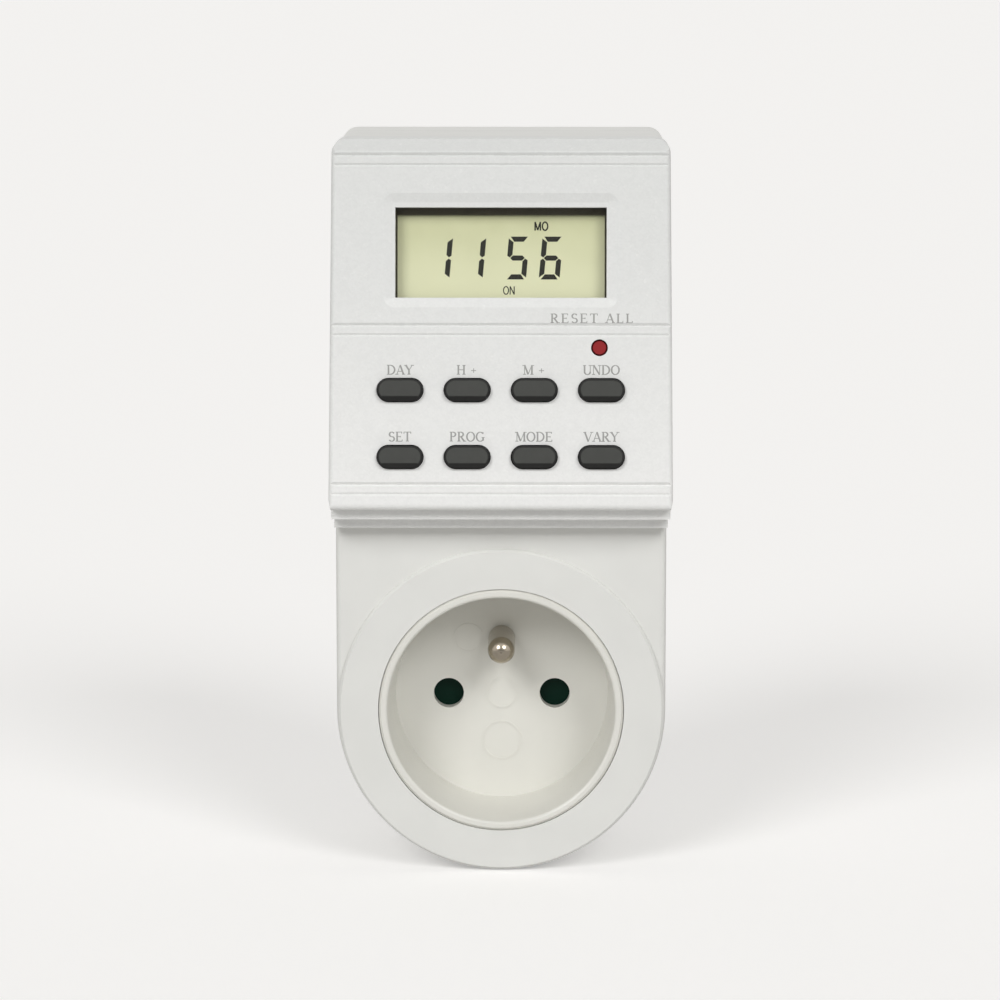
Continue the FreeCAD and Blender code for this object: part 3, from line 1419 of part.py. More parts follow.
def make_relay():
    """The relay that switches the outlet: base, yoke, coil, hinged armature, contacts and cover."""
    centre, up = dim.relay_across, POWER_LOW + dim.relay_rise
    left, right = centre - dim.relay_half_width, centre + dim.relay_half_width
    low, high = up - dim.relay_half_height, up + dim.relay_half_height
    base_front = POWER_FRONT + dim.relay_base_depth
    base = block("relay_base", left, right, low, high, POWER_FRONT, base_front)
    wall = dim.relay_cover_wall
    shell = block("relay_shell", left, right, low, high, base_front, base_front + dim.relay_cover_depth)
    hollow = block("relay_hollow", left + wall, right - wall, low + wall, high - wall, base_front - 1,
                   base_front + dim.relay_cover_depth - wall)
    cover = cut("relay_cover", shell, [hollow])
    half = dim.relay_yoke_half_width
    steel = dim.relay_yoke_thickness
    yoke_high = high - wall - dim.relay_yoke_margin
    yoke_front = base_front + dim.relay_yoke_depth
    coil_up = up - dim.relay_coil_drop
    near_side, far_side = centre - half, centre + half
    foot = block("relay_foot", near_side, far_side, coil_up - dim.relay_coil_radius, yoke_high, base_front,
                 base_front + steel)
    leg = block("relay_leg", near_side, far_side, yoke_high - steel, yoke_high, base_front, yoke_front)
    hinge_out = yoke_front + dim.armature_gap
    sweep = (yoke_high - coil_up + dim.relay_core_radius) * sine(dim.armature_swing)
    pole_front = hinge_out - sweep - dim.pole_clearance
    core = rod("relay_core", centre, coil_up, base_front, dim.relay_core_radius, pole_front - base_front)
    yoke = fuse("relay_yoke", [foot, leg, core])
    flange = dim.relay_flange
    coil_back = base_front + steel
    coil_front = pole_front - dim.relay_coil_gap
    core_hole = dim.relay_core_radius + dim.pin_fit
    length = coil_front - coil_back
    wound = dim.relay_coil_radius - dim.relay_coil_inset
    winding = rod("relay_winding", centre, coil_up, coil_back, wound, length)
    back_flange = rod("relay_back_flange", centre, coil_up, coil_back, dim.relay_coil_radius, flange)
    front_flange = rod("relay_front_flange", centre, coil_up, coil_front - flange, dim.relay_coil_radius,
                       flange)
    bore = rod("relay_coil_bore", centre, coil_up, coil_back - 1, core_hole, length + 2)
    coil = cut("relay_coil", fuse("relay_bobbin", [winding, back_flange, front_flange]), [bore])
    armature = block("relay_armature", near_side, far_side, yoke_high - dim.armature_length, yoke_high,
                     hinge_out, hinge_out + dim.armature_thickness)
    post_low = low + wall + dim.contact_post_margin
    post_half = dim.contact_post_width / 2
    posts = []
    for number, side in enumerate((-1, 1), start=1):
        across = centre + side * (half - post_half)
        posts.append(block("relay_post_%d" % number, across - post_half, across + post_half, post_low,
                           post_low + wall, base_front, base_front + dim.contact_post_height))
    return [base, cover, yoke, coil, armature, group("relay_contacts", posts)]


def make_board_parts():
    """The parts soldered to the mains board, each resting on its legs or its base."""
    film_half, film_tall = dim.film_length / 2, dim.film_width / 2
    film_up = POWER_LOW + dim.film_rise
    film = block("film_capacitor", dim.film_across - film_half, dim.film_across + film_half,
                 film_up - film_tall, film_up + film_tall, POWER_FRONT, POWER_FRONT + dim.film_depth)
    can_up, can_front = POWER_LOW + dim.can_rise, POWER_FRONT + dim.can_depth
    can_body = rod("can_body", dim.can_across, can_up, POWER_FRONT, dim.can_radius, dim.can_depth)
    can_top = rod("can_top", dim.can_across, can_up, can_front, dim.can_top_radius, dim.part_lift)
    can = fuse("electrolytic_capacitor", [can_body, can_top])
    disc_out = POWER_FRONT + dim.varistor_lift + dim.varistor_radius
    disc_up = POWER_LOW + dim.varistor_rise
    disc = rod("varistor_disc", dim.varistor_across, disc_up, disc_out, dim.varistor_radius,
               dim.varistor_thickness, along="across")
    middle = dim.varistor_across + dim.varistor_thickness / 2
    legs = []
    for side in (-1, 1):
        up = disc_up + side * dim.varistor_radius / 2
        legs.append(rod("varistor_leg_%d" % (side + 2), middle, up, POWER_FRONT, dim.lead_leg_radius,
                        dim.varistor_lift + dim.varistor_radius))
    varistor = fuse("varistor", [disc] + legs)
    fuse_up = POWER_LOW + dim.fuse_rise
    fuse_part = lying_part("fuse_resistor", dim.fuse_across, fuse_up, dim.fuse_radius, dim.fuse_length)
    diodes = []
    for number in range(4):
        up = POWER_LOW + dim.diode_rise + number * dim.diode_pitch
        diodes.append(lying_part("diode_%d" % (number + 1), dim.diode_across, up, dim.diode_radius,
                                 dim.diode_length))
    return [film, can, varistor, fuse_part, group("rectifier_diodes", diodes)]


def lying_part(label, across, up, radius, length):
    """A barrel that lies on the mains board with a bent leg at each end."""
    out = POWER_FRONT + dim.part_lift + radius
    barrel = rod(label + "_barrel", across, up, out, radius, length, along="across")
    reach = dim.lead_leg_reach
    leg = dim.lead_leg_radius
    wire = rod(label + "_wire", across - reach, up, out, leg, length + 2 * reach, along="across")
    ends = [across - reach, across + length + reach]
    legs = [rod("%s_leg_%d" % (label, i + 1), end, up, POWER_FRONT, leg, out - POWER_FRONT)
            for i, end in enumerate(ends)]
    return fuse(label, [barrel, wire] + legs)


def make_display_board():
    """The control board, parallel to the head's face, on four bosses of the fascia."""
    board = Moulding("display_board")

    def draw_outline(drawing):
        drawing.rectangle(-BOARD_HALF_WIDTH, dim.board_low, BOARD_HALF_WIDTH, BOARD_HIGH)

    board.pad(BOARD_BACK, dim.board_thickness, draw_outline, FACE)
    clear = dim.board_screw_radius + dim.screw_play
    board.pocket(BOARD_FRONT, dim.board_thickness, lambda d: d.circles(board_posts(), clear), FACE)
    return board.body


def pane_box():
    left, low, right, high = window_box()
    lap = dim.pane_lap
    return (left - lap, low - lap, right + lap, high + lap)


def lcd_box():
    left, low, right, high = window_box()
    side = dim.lcd_lap_side
    return (left - side, low - dim.lcd_lap_low, right + side, high + dim.lcd_lap_high)


def widened(box, margin):
    left, low, right, high = box
    return (left - margin, low - margin, right + margin, high + margin)


def make_display():
    """The clear pane, the black frame behind it, the liquid crystal cell and its contact strip."""
    pane_front = -dim.head_wall
    pane_back = pane_front - dim.pane_thickness
    pane = Moulding("lcd_window")
    pane.pad(pane_back, dim.pane_thickness, lambda d: d.rectangle(*pane_box()), FACE)
    lip_back = pane_back - dim.frame_lip
    frame = Moulding("lcd_frame")
    left, low, right, high = pane_box()
    cell_left, cell_low, cell_right, cell_high = lcd_box()
    outline = (left, cell_low, right, cell_high)
    frame.pad(BOARD_FRONT, pane_front - BOARD_FRONT,
              lambda d: d.rectangle(*widened(outline, dim.frame_wall + dim.frame_fit)), FACE)
    pane_seat = widened(pane_box(), dim.frame_fit)
    frame.pocket(pane_front, dim.pane_thickness, lambda d: d.rectangle(*pane_seat), FACE)
    w_left, w_low, w_right, w_high = window_box()
    side, below, above = dim.frame_lip_side, dim.frame_lip_low, dim.frame_lip_high
    frame.pocket(pane_back, dim.frame_lip,
                 lambda d: d.rectangle(w_left + side, w_low - below, w_right - side, w_high - above), FACE)
    frame.pocket(lip_back, lip_back - BOARD_FRONT,
                 lambda d: d.rectangle(*widened(lcd_box(), dim.frame_fit)), FACE)
    glass_split = lip_back - dim.lcd_front_glass
    glass_back = glass_split - dim.lcd_back_glass
    front_glass = block("lcd_front_glass", cell_left, cell_right, cell_low, cell_high, glass_split, lip_back,
                        FACE)
    ledge = cell_high - dim.lcd_ledge
    back_glass = block("lcd_back_glass", cell_left, cell_right, cell_low, ledge, glass_back, glass_split,
                       FACE)
    cell = fuse("lcd_panel", [front_glass, back_glass])
    zebra = block("zebra_strip", -dim.zebra_half_length, dim.zebra_half_length, cell_high - dim.zebra_width,
                  cell_high, BOARD_FRONT, glass_split, FACE)
    return [pane.body, frame.body, cell, zebra]


def make_control_parts():
    """What sits on the back of the control board, and the ribbon to the mains board."""
    chip = named("Part::Cone", "controller_blob", Radius1=dim.chip_back_radius, Radius2=dim.chip_radius,
                 Height=dim.chip_height)
    place(chip, FACE, Size(0), (WINDOW_LOW + WINDOW_HIGH) / 2, BOARD_BACK - dim.chip_height)
    crystal = rod("timing_crystal", dim.crystal_across, WINDOW_LOW + dim.crystal_rise,
                  BOARD_BACK - dim.crystal_radius, dim.crystal_radius, dim.crystal_length, FACE, "across")
    tab = dim.tab_thickness
    half = dim.tab_width / 2
    centre, up = dim.battery_across, KEY_HIGH_ROW
    battery_front = BOARD_BACK - tab
    battery_back = battery_front - dim.battery_thickness
    battery = rod("backup_battery", centre, up, battery_back, dim.battery_radius, dim.battery_thickness,
                  FACE)
    reach = dim.battery_radius + dim.tab_overhang
    left, right = centre - half, centre + half
    front_tab = block("battery_front_tab", left, right, up - reach, up + reach, battery_front, BOARD_BACK,
                      FACE)
    cross = block("battery_back_bar", left, right, up - half, up + reach + tab, battery_back - tab,
                  battery_back, FACE)
    leg = block("battery_back_leg", left, right, up + reach, up + reach + tab, battery_back - tab,
                BOARD_BACK, FACE)
    tabs = group("battery_tabs", [front_tab, fuse("battery_back_tab", [cross, leg])])
    return [chip, crystal, battery, tabs, make_ribbon()]


def make_ribbon():
    """A flat ribbon that leaves the control board, bends down and lands on the mains board."""
    ribbon = Moulding("ribbon_cable")
    thick = dim.ribbon_thickness
    on_face = MIDDLE_GROOVE - dim.ribbon_below_groove
    start_out = FACE.forward(on_face, BOARD_BACK)
    start_up = FACE.height(on_face, BOARD_BACK)
    landing = POWER_LOW + dim.ribbon_rise
    low_turn = POWER_FRONT + dim.ribbon_run
    high_turn = start_out - dim.ribbon_run
    fall = arctangent((start_up - landing) / (high_turn - low_turn))
    shift = thick * tangent(fall / 2)
    ahead = start_out - thick * tangent(dim.head_tilt)

    def draw(drawing):
        drawing.polygon([
            (-start_out, start_up),
            (-high_turn, start_up),
            (-low_turn, landing),
            (-POWER_FRONT, landing),
            (-POWER_FRONT, landing + thick),
            (shift - low_turn, landing + thick),
            (shift - high_turn, start_up + thick),
            (-ahead, start_up + thick),
        ])

    ribbon.across("Pad", dim.ribbon_width, draw)
    body = ribbon.body
    across = HALF_WIDTH - dim.deck_opening_side - dim.ribbon_side_gap - dim.ribbon_width / 2
    body.Placement = Placement(Vector(across.value, 0, 0), Rotation())
    bind(body, "Placement.Base.x", across)
    return body


def make_keypad_mat():
    """A soft sheet on the control board with a raised collar around each key's stem."""
    mat = Moulding("keypad_mat")
    margin = dim.mat_margin
    half = BOARD_HALF_WIDTH - dim.mat_inset
    low = KEY_LOW_ROW - dim.key_height / 2 - margin
    high = KEY_HIGH_ROW + dim.key_height / 2 + margin
    mat.pad(BOARD_FRONT, dim.mat_thickness, lambda d: d.rectangle(-half, low, half, high), FACE)
    inner_length = dim.key_length - 2 * dim.key_stem_inset + 2 * dim.collar_play
    inner_height = dim.key_height - 2 * dim.key_stem_inset + 2 * dim.collar_play
    wall = 2 * dim.collar_wall
    mat.pad(BOARD_FRONT, dim.mat_thickness + dim.collar_height,
            lambda d: draw_slots(d, key_places(), inner_length + wall, inner_height + wall), FACE)
    top = BOARD_FRONT + dim.mat_thickness + dim.collar_height

    def draw_wells(drawing):
        draw_slots(drawing, key_places(), inner_length, inner_height)

    mat.pocket(top, top - BOARD_FRONT, draw_wells, FACE)
    boss = dim.board_boss_radius + dim.screw_play
    thick = dim.mat_thickness
    mat.pocket(BOARD_FRONT + thick, thick, lambda d: d.circles(board_posts()[:2], boss), FACE)
    return mat.body


KEY_NAMES = [
    "day_key", "hour_key", "minute_key", "recall_key",
    "clock_key", "program_key", "mode_key", "random_key",
]


def make_key(label, across, up):
    """One key: a stadium cap that slopes away at its foot, a flange that keeps it in, and a stem."""

    def draw_foot_slope(drawing):
        low, run, drop = up - dim.key_height / 2, dim.key_foot_slope_run, dim.key_foot_slope_drop
        drawing.polygon([
            face_point(low + run, dim.key_proud),
            face_point(low - run / 2, dim.key_proud - drop * 1.5),
            face_point(low - run / 2, dim.key_proud + drop),
            face_point(low + run, dim.key_proud + drop),
        ])

    key = Moulding(label)
    flange_front = -dim.head_wall - dim.key_flange_play
    flange_back = flange_front - dim.key_flange_depth
    lap = 2 * dim.key_flange
    key.pad(flange_back, dim.key_flange_depth,
            lambda d: d.slot(across, up, dim.key_length + lap, dim.key_height + lap), FACE)
    key.pad(flange_back, dim.key_proud - flange_back,
            lambda d: d.slot(across, up, dim.key_length, dim.key_height), FACE)
    key.round_edges(dim.key_edge_bevel,
                    lambda edge: ends_at(edge, lambda p: near(FACE.off(p), dim.key_proud)), "Chamfer")
    key.across("Pocket", 2 * HEAD_HALF_WIDTH, draw_foot_slope)
    stem_end = BOARD_FRONT + dim.key_stem_rest + dim.key_travel
    inset = 2 * dim.key_stem_inset
    key.pad(stem_end, flange_back - stem_end,
            lambda d: d.slot(across, up, dim.key_length - inset, dim.key_height - inset), FACE)
    return key.body


def make_reset():
    """The recessed reset button and the small switch that it presses."""
    across, up = dim.reset_across, RESET_UP
    flange_front = -dim.head_wall - dim.key_flange_play
    flange_back = flange_front - dim.reset_flange_depth
    switch_top = BOARD_FRONT + dim.reset_switch_height
    stem_end = switch_top + dim.reset_nub_height + dim.reset_travel + dim.reset_nub_gap
    cap = rod("reset_cap", across, up, flange_back, dim.reset_radius, -dim.reset_recess - flange_back, FACE)
    flange = rod("reset_flange", across, up, flange_back, dim.reset_radius + dim.reset_flange,
                 dim.reset_flange_depth, FACE)
    stem = rod("reset_stem", across, up, stem_end, dim.reset_stem_radius, flange_back - stem_end, FACE)
    button = fuse("reset_button", [cap, flange, stem])
    half = dim.reset_switch_side / 2
    case = block("reset_switch_case", across - half, across + half, up - half, up + half, BOARD_FRONT,
                 switch_top, FACE)
    nub = rod("reset_switch_nub", across, up, switch_top, dim.reset_nub_radius, dim.reset_nub_height, FACE)
    return [button, fuse("reset_switch", [case, nub])]


def lead(label, route):
    """A round wire along straight runs joined by tangent arcs, as large as the runs allow."""
    points = [Vector(float(across), -float(out), float(up)) for across, up, out in route]
    edges = []
    least = points[0].distanceToPoint(points[-1])
    start = points[0]
    for i in range(1, len(points) - 1):
        before = points[i] - points[i - 1]
        after = points[i + 1] - points[i]
        turn = before.getAngle(after)
        reach = 0.45 * min(before.Length, after.Length)
        least = min(least, reach / math.tan(turn / 2))
        entry = points[i] - before.normalize() * reach
        leave = points[i] + after.normalize() * reach
        radius = reach / math.tan(turn / 2)
        inward = (after - before).normalize()
        middle = points[i] + inward * (radius / math.cos(turn / 2) - radius)
        edges.append(Part.LineSegment(start, entry).toShape())
        edges.append(Part.Arc(entry, middle, leave).toShape())
        start = leave
    edges.append(Part.LineSegment(start, points[-1]).toShape())
    path = Part.Wire(edges)
    ahead = (points[1] - points[0]).normalize()
    section = Part.Wire([Part.Edge(Part.Circle(points[0], ahead, dim.wire_radius.value))])
    wire = doc.addObject("Part::Feature", label)
    wire.Label = label
    wire.Shape = path.makePipeShell([section], True, False)
    ratio = wire.Shape.Volume / (path.Length * math.pi * dim.wire_radius.value ** 2)
    print("%-24s %.1f mm long, least bend %.1f mm, volume against section times length %.3f"
          % (label, path.Length, least, ratio))
    return wire


# Stops of a wire's route, as shares of a way across, a way up and a way out. Inside the plug's
# boss the ways end at the pad, the boss's inner wall and the mains board. Above it they end at
# the pad and the deck. The first and last runs stand square on what they join.
PIN_TAIL_STOPS = [
    (0.0, 0.0, 0.281),
    (0.02, 0.155, 0.474),
    (0.1, 0.555, 0.447),
    (0.3, 0.8, 0.833),
]
PIN_LEAD_STOPS = [
    (1.17, 0.455, -0.14),
    (1.43, 0.668, 0.089),
    (1.23, 0.816, 0.252),
    (1.07, 0.906, 0.294),
    (1.0, 1.0, 0.187),
]
CONTACT_LEAD_STOPS = [
    (0.0, 0.0, 0.112),
    (0.067, 0.1, 0.234),
    (0.444, 0.334, 0.252),
    (0.867, 0.69, 0.215),
    (0.978, 0.886, 0.271),
    (1.0, 1.0, 0.178),
]


def stops_along(start, across_way, up_way, rear, front, stops):
    """The points of a wire's stops, each given as shares of the ways from its start."""
    return [
        (start[0] + across_way * across, start[1] + up_way * up, rear + (front - rear) * out)
        for across, up, out in stops
    ]


def make_leads():
    """Four insulated wires between the plug's pins, the mains board and the outlet's contacts."""
    pin_end = dim.boss_end + dim.pin_tube_depth + dim.pin_collar_depth + dim.pin_tail_length
    tab_front = CARRIER_BACK - dim.chamber_depth
    boss_inside = dim.boss_radius - dim.boss_wall
    tab_up = dim.contact_tab_top - dim.wire_radius - dim.link_end_margin
    pad_up = POWER_LOW + dim.pad_rise
    made = []
    for label, side in (("live_lead", -1), ("neutral_lead", 1)):
        start = (side * HALF_PITCH, Size(0), pin_end)
        pad = (side * (HALF_PITCH + dim.lead_pad_shift), pad_up, POWER_FRONT)
        shift = side * dim.lead_pad_shift
        rise = stops_along(start, shift, boss_inside, pin_end, POWER_FRONT, PIN_TAIL_STOPS)
        climb = stops_along(start, shift, pad_up, POWER_FRONT, DECK_BACK, PIN_LEAD_STOPS)
        made.append(lead(label, [start] + rise + climb + [pad]))
    for label, side in (("switched_lead", -1), ("neutral_link", 1)):
        start = (side * HALF_PITCH, tab_up, tab_front)
        pad = (side * (HALF_PITCH - dim.link_pad_shift), pad_up, POWER_FRONT)
        shift = -side * dim.link_pad_shift
        climb = stops_along(start, shift, pad_up - tab_up, POWER_FRONT, DECK_BACK, CONTACT_LEAD_STOPS)
        made.append(lead(label, [start] + climb + [pad]))
    return made


def check_and_write(nodes):
    """Stops on any failed object, then writes one file for each node."""
    doc.recompute()
    failed = [obj.Name for obj in doc.Objects if "Invalid" in obj.State or "Error" in obj.State]
    bad = [node.Label for node in nodes if node.Shape.isNull() or not node.Shape.isValid()]
    if failed or bad:
        raise ValueError("failed objects: %s, bad shapes: %s" % (failed, bad))
    os.makedirs("parts", exist_ok=True)
    for node in nodes:
        node.Shape.exportStep("parts/" + node.Label + ".step")
        print("%-24s %2d solids %10.1f mm3" % (node.Label, len(node.Shape.Solids), node.Shape.Volume))


def make_timer():
    """Every piece of the timer, each a node of its own."""
    nodes = [make_rear_cover(), make_front_cover(), make_display_fascia(), make_socket_insert()]
    nodes += make_fasteners()
    nodes += [make_shutter(), make_shutter_spring(), make_contact_carrier()]
    nodes += [make_outlet_contact("live_contact", -1), make_outlet_contact("neutral_contact", 1)]
    nodes += [make_plug_pin("line_pin", -1), make_plug_pin("neutral_pin", 1), make_ground_pin()]
    nodes += make_earth_parts()
    nodes += [make_power_board()] + make_relay() + make_board_parts()
    nodes += [make_display_board()] + make_display() + make_control_parts()
    nodes += [make_keypad_mat()]
    nodes += [make_key(label, across, up) for label, (across, up) in zip(KEY_NAMES, key_places())]
    nodes += make_reset() + make_leads()
    return nodes


check_and_write(make_timer())
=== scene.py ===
"""Looks of a plug-in digital week timer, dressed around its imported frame.

Lengths are in metres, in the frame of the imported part. The plug's end face holds the origin, X runs
across the front, +Z is up and the front looks along -Y. Sizes whose names end in _mm are millimetres.
"""

import json
import logging
import math
from abc import ABC, abstractmethod
from dataclasses import dataclass
from enum import Enum
from typing import ClassVar, Sequence, Union

import bpy
import numpy as np
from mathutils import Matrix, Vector


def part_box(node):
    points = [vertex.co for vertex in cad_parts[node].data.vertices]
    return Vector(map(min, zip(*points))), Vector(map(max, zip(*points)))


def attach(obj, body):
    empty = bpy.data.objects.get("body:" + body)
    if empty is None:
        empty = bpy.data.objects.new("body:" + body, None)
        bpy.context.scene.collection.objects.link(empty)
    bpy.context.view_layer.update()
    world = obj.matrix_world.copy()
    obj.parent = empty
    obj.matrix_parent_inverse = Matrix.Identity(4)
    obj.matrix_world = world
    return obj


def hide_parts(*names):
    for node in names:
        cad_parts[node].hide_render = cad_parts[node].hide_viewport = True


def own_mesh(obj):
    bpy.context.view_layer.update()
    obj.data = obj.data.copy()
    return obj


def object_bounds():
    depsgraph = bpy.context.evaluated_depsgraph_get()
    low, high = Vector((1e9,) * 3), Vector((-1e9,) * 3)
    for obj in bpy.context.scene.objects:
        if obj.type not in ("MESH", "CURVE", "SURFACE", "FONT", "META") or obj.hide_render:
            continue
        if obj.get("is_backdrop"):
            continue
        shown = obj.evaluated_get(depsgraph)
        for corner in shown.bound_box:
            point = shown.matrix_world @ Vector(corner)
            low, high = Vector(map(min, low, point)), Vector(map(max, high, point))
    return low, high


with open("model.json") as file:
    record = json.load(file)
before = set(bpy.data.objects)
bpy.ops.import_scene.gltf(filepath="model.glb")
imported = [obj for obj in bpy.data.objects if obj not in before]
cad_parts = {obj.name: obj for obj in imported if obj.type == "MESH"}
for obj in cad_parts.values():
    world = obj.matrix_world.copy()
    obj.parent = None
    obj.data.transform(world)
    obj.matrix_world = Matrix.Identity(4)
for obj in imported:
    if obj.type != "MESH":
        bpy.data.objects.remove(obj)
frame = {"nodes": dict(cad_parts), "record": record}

LOG = logging.getLogger("timer")
MM = 0.001
ZINC = (190, 191, 196)
BRASS = (214, 178, 112)
PRINT_GREY = (196, 198, 200)
Shade = tuple[float, float, float]
Range = tuple[float, float]
Value = Union["Socket", float, Sequence[float]]


class Body(Enum):
    """The bodies that new pieces ride on."""

    HOUSING = "housing"


class Axis(Enum):
    """A direction of the frame, as its index in a vector."""

    X = 0
    Y = 1
    Z = 2


class Pen(Enum):
    """How a stroke of a letter is drawn."""

    STEM = "stem"
    HAIR = "hair"
    SERIF = "serif"
    BOWL = "bowl"


class Ray(Enum):
    """The kinds of ray that a shader tells apart, as its node names them."""

    CAMERA = "Is Camera Ray"
    GLOSSY = "Is Glossy Ray"
    TRANSMISSION = "Is Transmission Ray"


def linear(shade: Shade) -> tuple[float, float, float, float]:
    """Turns a display colour into the linear colour that a shader takes, by the sRGB curve.

    Args:
        shade: Red, green and blue as displayed, from 0 to 255.

    Returns:
        The linear colour with an alpha of 1.
    """
    parts = [c / 255.0 for c in shade]
    light = [c / 12.92 if c <= 0.04045 else ((c + 0.055) / 1.055) ** 2.4 for c in parts]
    return (*light, 1.0)


def scaled(shade: Shade, factor: float) -> Shade:
    """The display colour made lighter or darker by a factor."""
    return tuple(min(255.0, c * factor) for c in shade)


class Socket:
    """A shader output that takes part in Python arithmetic."""

    def __init__(self, graph: "Graph", link: bpy.types.NodeSocket) -> None:
        """Keeps the output and the graph that its Math nodes go to."""
        self.graph = graph
        self.link = link

    def __add__(self, other: Value) -> "Socket":
        """The sum."""
        return self.graph.maths("ADD", self, other)

    def __radd__(self, other: Value) -> "Socket":
        """The sum, from the right."""
        return self.graph.maths("ADD", other, self)

    def __sub__(self, other: Value) -> "Socket":
        """The difference."""
        return self.graph.maths("SUBTRACT", self, other)

    def __rsub__(self, other: Value) -> "Socket":
        """The difference, from the right."""
        return self.graph.maths("SUBTRACT", other, self)

    def __mul__(self, other: Value) -> "Socket":
        """The product."""
        return self.graph.maths("MULTIPLY", self, other)

    def __rmul__(self, other: Value) -> "Socket":
        """The product, from the right."""
        return self.graph.maths("MULTIPLY", other, self)

    def __truediv__(self, other: Value) -> "Socket":
        """The quotient."""
        return self.graph.maths("DIVIDE", self, other)

    def __gt__(self, other: Value) -> "Socket":
        """1 where this is greater, otherwise 0."""
        return self.graph.maths("GREATER_THAN", self, other)

    def step(self, low: float, high: float) -> "Socket":
        """A smooth step from 0 at low to 1 at high.

        Args:
            low: The value up to which the result is 0.
            high: The value from which the result is 1.

        Returns:
            The step, clamped to 0 and 1.
        """
        settings = {"interpolation_type": "SMOOTHSTEP", "clamp": True}
        return self.graph.add("ShaderNodeMapRange", settings, {0: self, 1: low, 2: high, 3: 0.0, 4: 1.0})


class Graph:
    """The nodes of one material, or of the world."""

    def __init__(self, owner: bpy.types.Material | bpy.types.World) -> None:
        """Empties the owner's nodes."""
        owner.use_nodes = True
        self.owner = owner
        self.tree = owner.node_tree
        self.tree.nodes.clear()

    def add(self, kind: str, settings: dict | None = None, inputs: dict | None = None,
            output: int | str = 0) -> Socket:
        """Adds a node, sets it up and feeds its sockets.

        Args:
            kind: The node's type.
            settings: Its settings. "stops" gives a ramp's stops as pairs of place and colour.
            inputs: Numbers, colours or sockets for its inputs, by name or index.
            output: The name or index of the output that is wanted.

        Returns:
            That output.
        """
        node = self.tree.nodes.new(kind)
        for name, value in (settings or {}).items():
            if name == "stops":
                ramp = node.color_ramp
                while len(ramp.elements) < len(value):
                    ramp.elements.new(1.0)
                for element, (place, colour) in zip(ramp.elements, value):
                    element.position, element.color = place, colour
            else:
                setattr(node, name, value)
        for name, value in (inputs or {}).items():
            if isinstance(value, Socket):
                self.tree.links.new(value.link, node.inputs[name])
            else:
                node.inputs[name].default_value = value
        return Socket(self, node.outputs[output])

    def finish(self, shader: Socket) -> None:
        """Joins the shader to the owner's output."""
        kind = "World" if isinstance(self.owner, bpy.types.World) else "Material"
        output = self.tree.nodes.new("ShaderNodeOutput" + kind)
        self.tree.links.new(shader.link, output.inputs["Surface"])

    def maths(self, operation: str, *terms: Value) -> Socket:
        """Adds a Math node.

        Args:
            operation: The node's operation.
            terms: Its inputs, in order.

        Returns:
            The node's result.
        """
        return self.add("ShaderNodeMath", {"operation": operation}, dict(enumerate(terms)))

    def place(self) -> Socket:
        """The point on the object in metres or, for the world, the direction."""
        return self.add("ShaderNodeTexCoord", output="Object")

    def along(self, axis: Axis) -> Socket:
        """The point's coordinate along one axis, in metres."""
        return self.add("ShaderNodeSeparateXYZ", inputs={0: self.place()}, output=axis.value)

    def dot(self, direction: Sequence[float]) -> Socket:
        """How far the point lies along a direction of length 1."""
        inputs = {0: self.place(), 1: tuple(direction)}
        return self.add("ShaderNodeVectorMath", {"operation": "DOT_PRODUCT"}, inputs, output="Value")

    def stretched(self, axis: Axis, factor: float) -> Socket:
        """The point with one coordinate shrunk, so that a pattern is drawn out along that axis."""
        scale = [1.0, 1.0, 1.0]
        scale[axis.value] = factor
        return self.add("ShaderNodeMapping", inputs={"Vector": self.place(), "Scale": scale})

    def ray(self, kind: Ray) -> Socket:
        """1 on rays of a kind, otherwise 0."""
        return self.add("ShaderNodeLightPath", output=kind.value)

    def noise(self, size_mm: float, detail: float = 2.0, at: Socket | None = None) -> Socket:
        """Noise about that many millimetres across, from 0 to 1."""
        inputs = {"Vector": at or self.place(), "Scale": 1.0 / (size_mm * MM), "Detail": detail}
        return self.add("ShaderNodeTexNoise", inputs=inputs)

    def cells(self, size_mm: float) -> Socket:
        """Cells of about that many millimetres, each with a random value from 0 to 1."""
        inputs = {"Vector": self.place(), "Scale": 1.0 / (size_mm * MM)}
        shade = self.add("ShaderNodeTexVoronoi", inputs=inputs, output="Color")
        return self.add("ShaderNodeSeparateXYZ", inputs={0: shade})

    def haze(self) -> Socket:
        """The fine noise by which a handled or moulded surface varies in gloss."""
        return self.noise(0.3, detail=3.0)

    def mixed(self, share: Value, first: Value, second: Value) -> Socket:
        """The first colour at a share of 0 and the second at 1."""
        settings = {"data_type": "RGBA", "clamp_factor": True}
        return self.add("ShaderNodeMix", settings, {0: share, 6: first, 7: second}, output=2)

    def bumped(self, height: Socket, depth_mm: float) -> Socket:
        """The normal of a surface whose height runs from 0 to 1 times the depth."""
        return self.add("ShaderNodeBump", inputs={"Height": height, "Distance": depth_mm * MM})

    def principled(self, **sockets: Value) -> Socket:
        """A Principled shader. Underscores in the names of its sockets stand for spaces."""
        inputs = {name.replace("_", " "): value for name, value in sockets.items()}
        return self.add("ShaderNodeBsdfPrincipled", inputs=inputs)


@dataclass(frozen=True)
class Finish(ABC):
    """How a surface looks: a name, a main display colour and a recipe for its shader."""

    name: str
    shade: Shade

    @abstractmethod
    def shader(self, g: Graph) -> Socket:
        """Builds the shader in an empty graph and returns it."""

    def material(self) -> bpy.types.Material:
        """Makes a material of the finish's name with its shader."""
        material = bpy.data.materials.new(self.name)
        g = Graph(material)
        g.finish(self.shader(g))
        return material


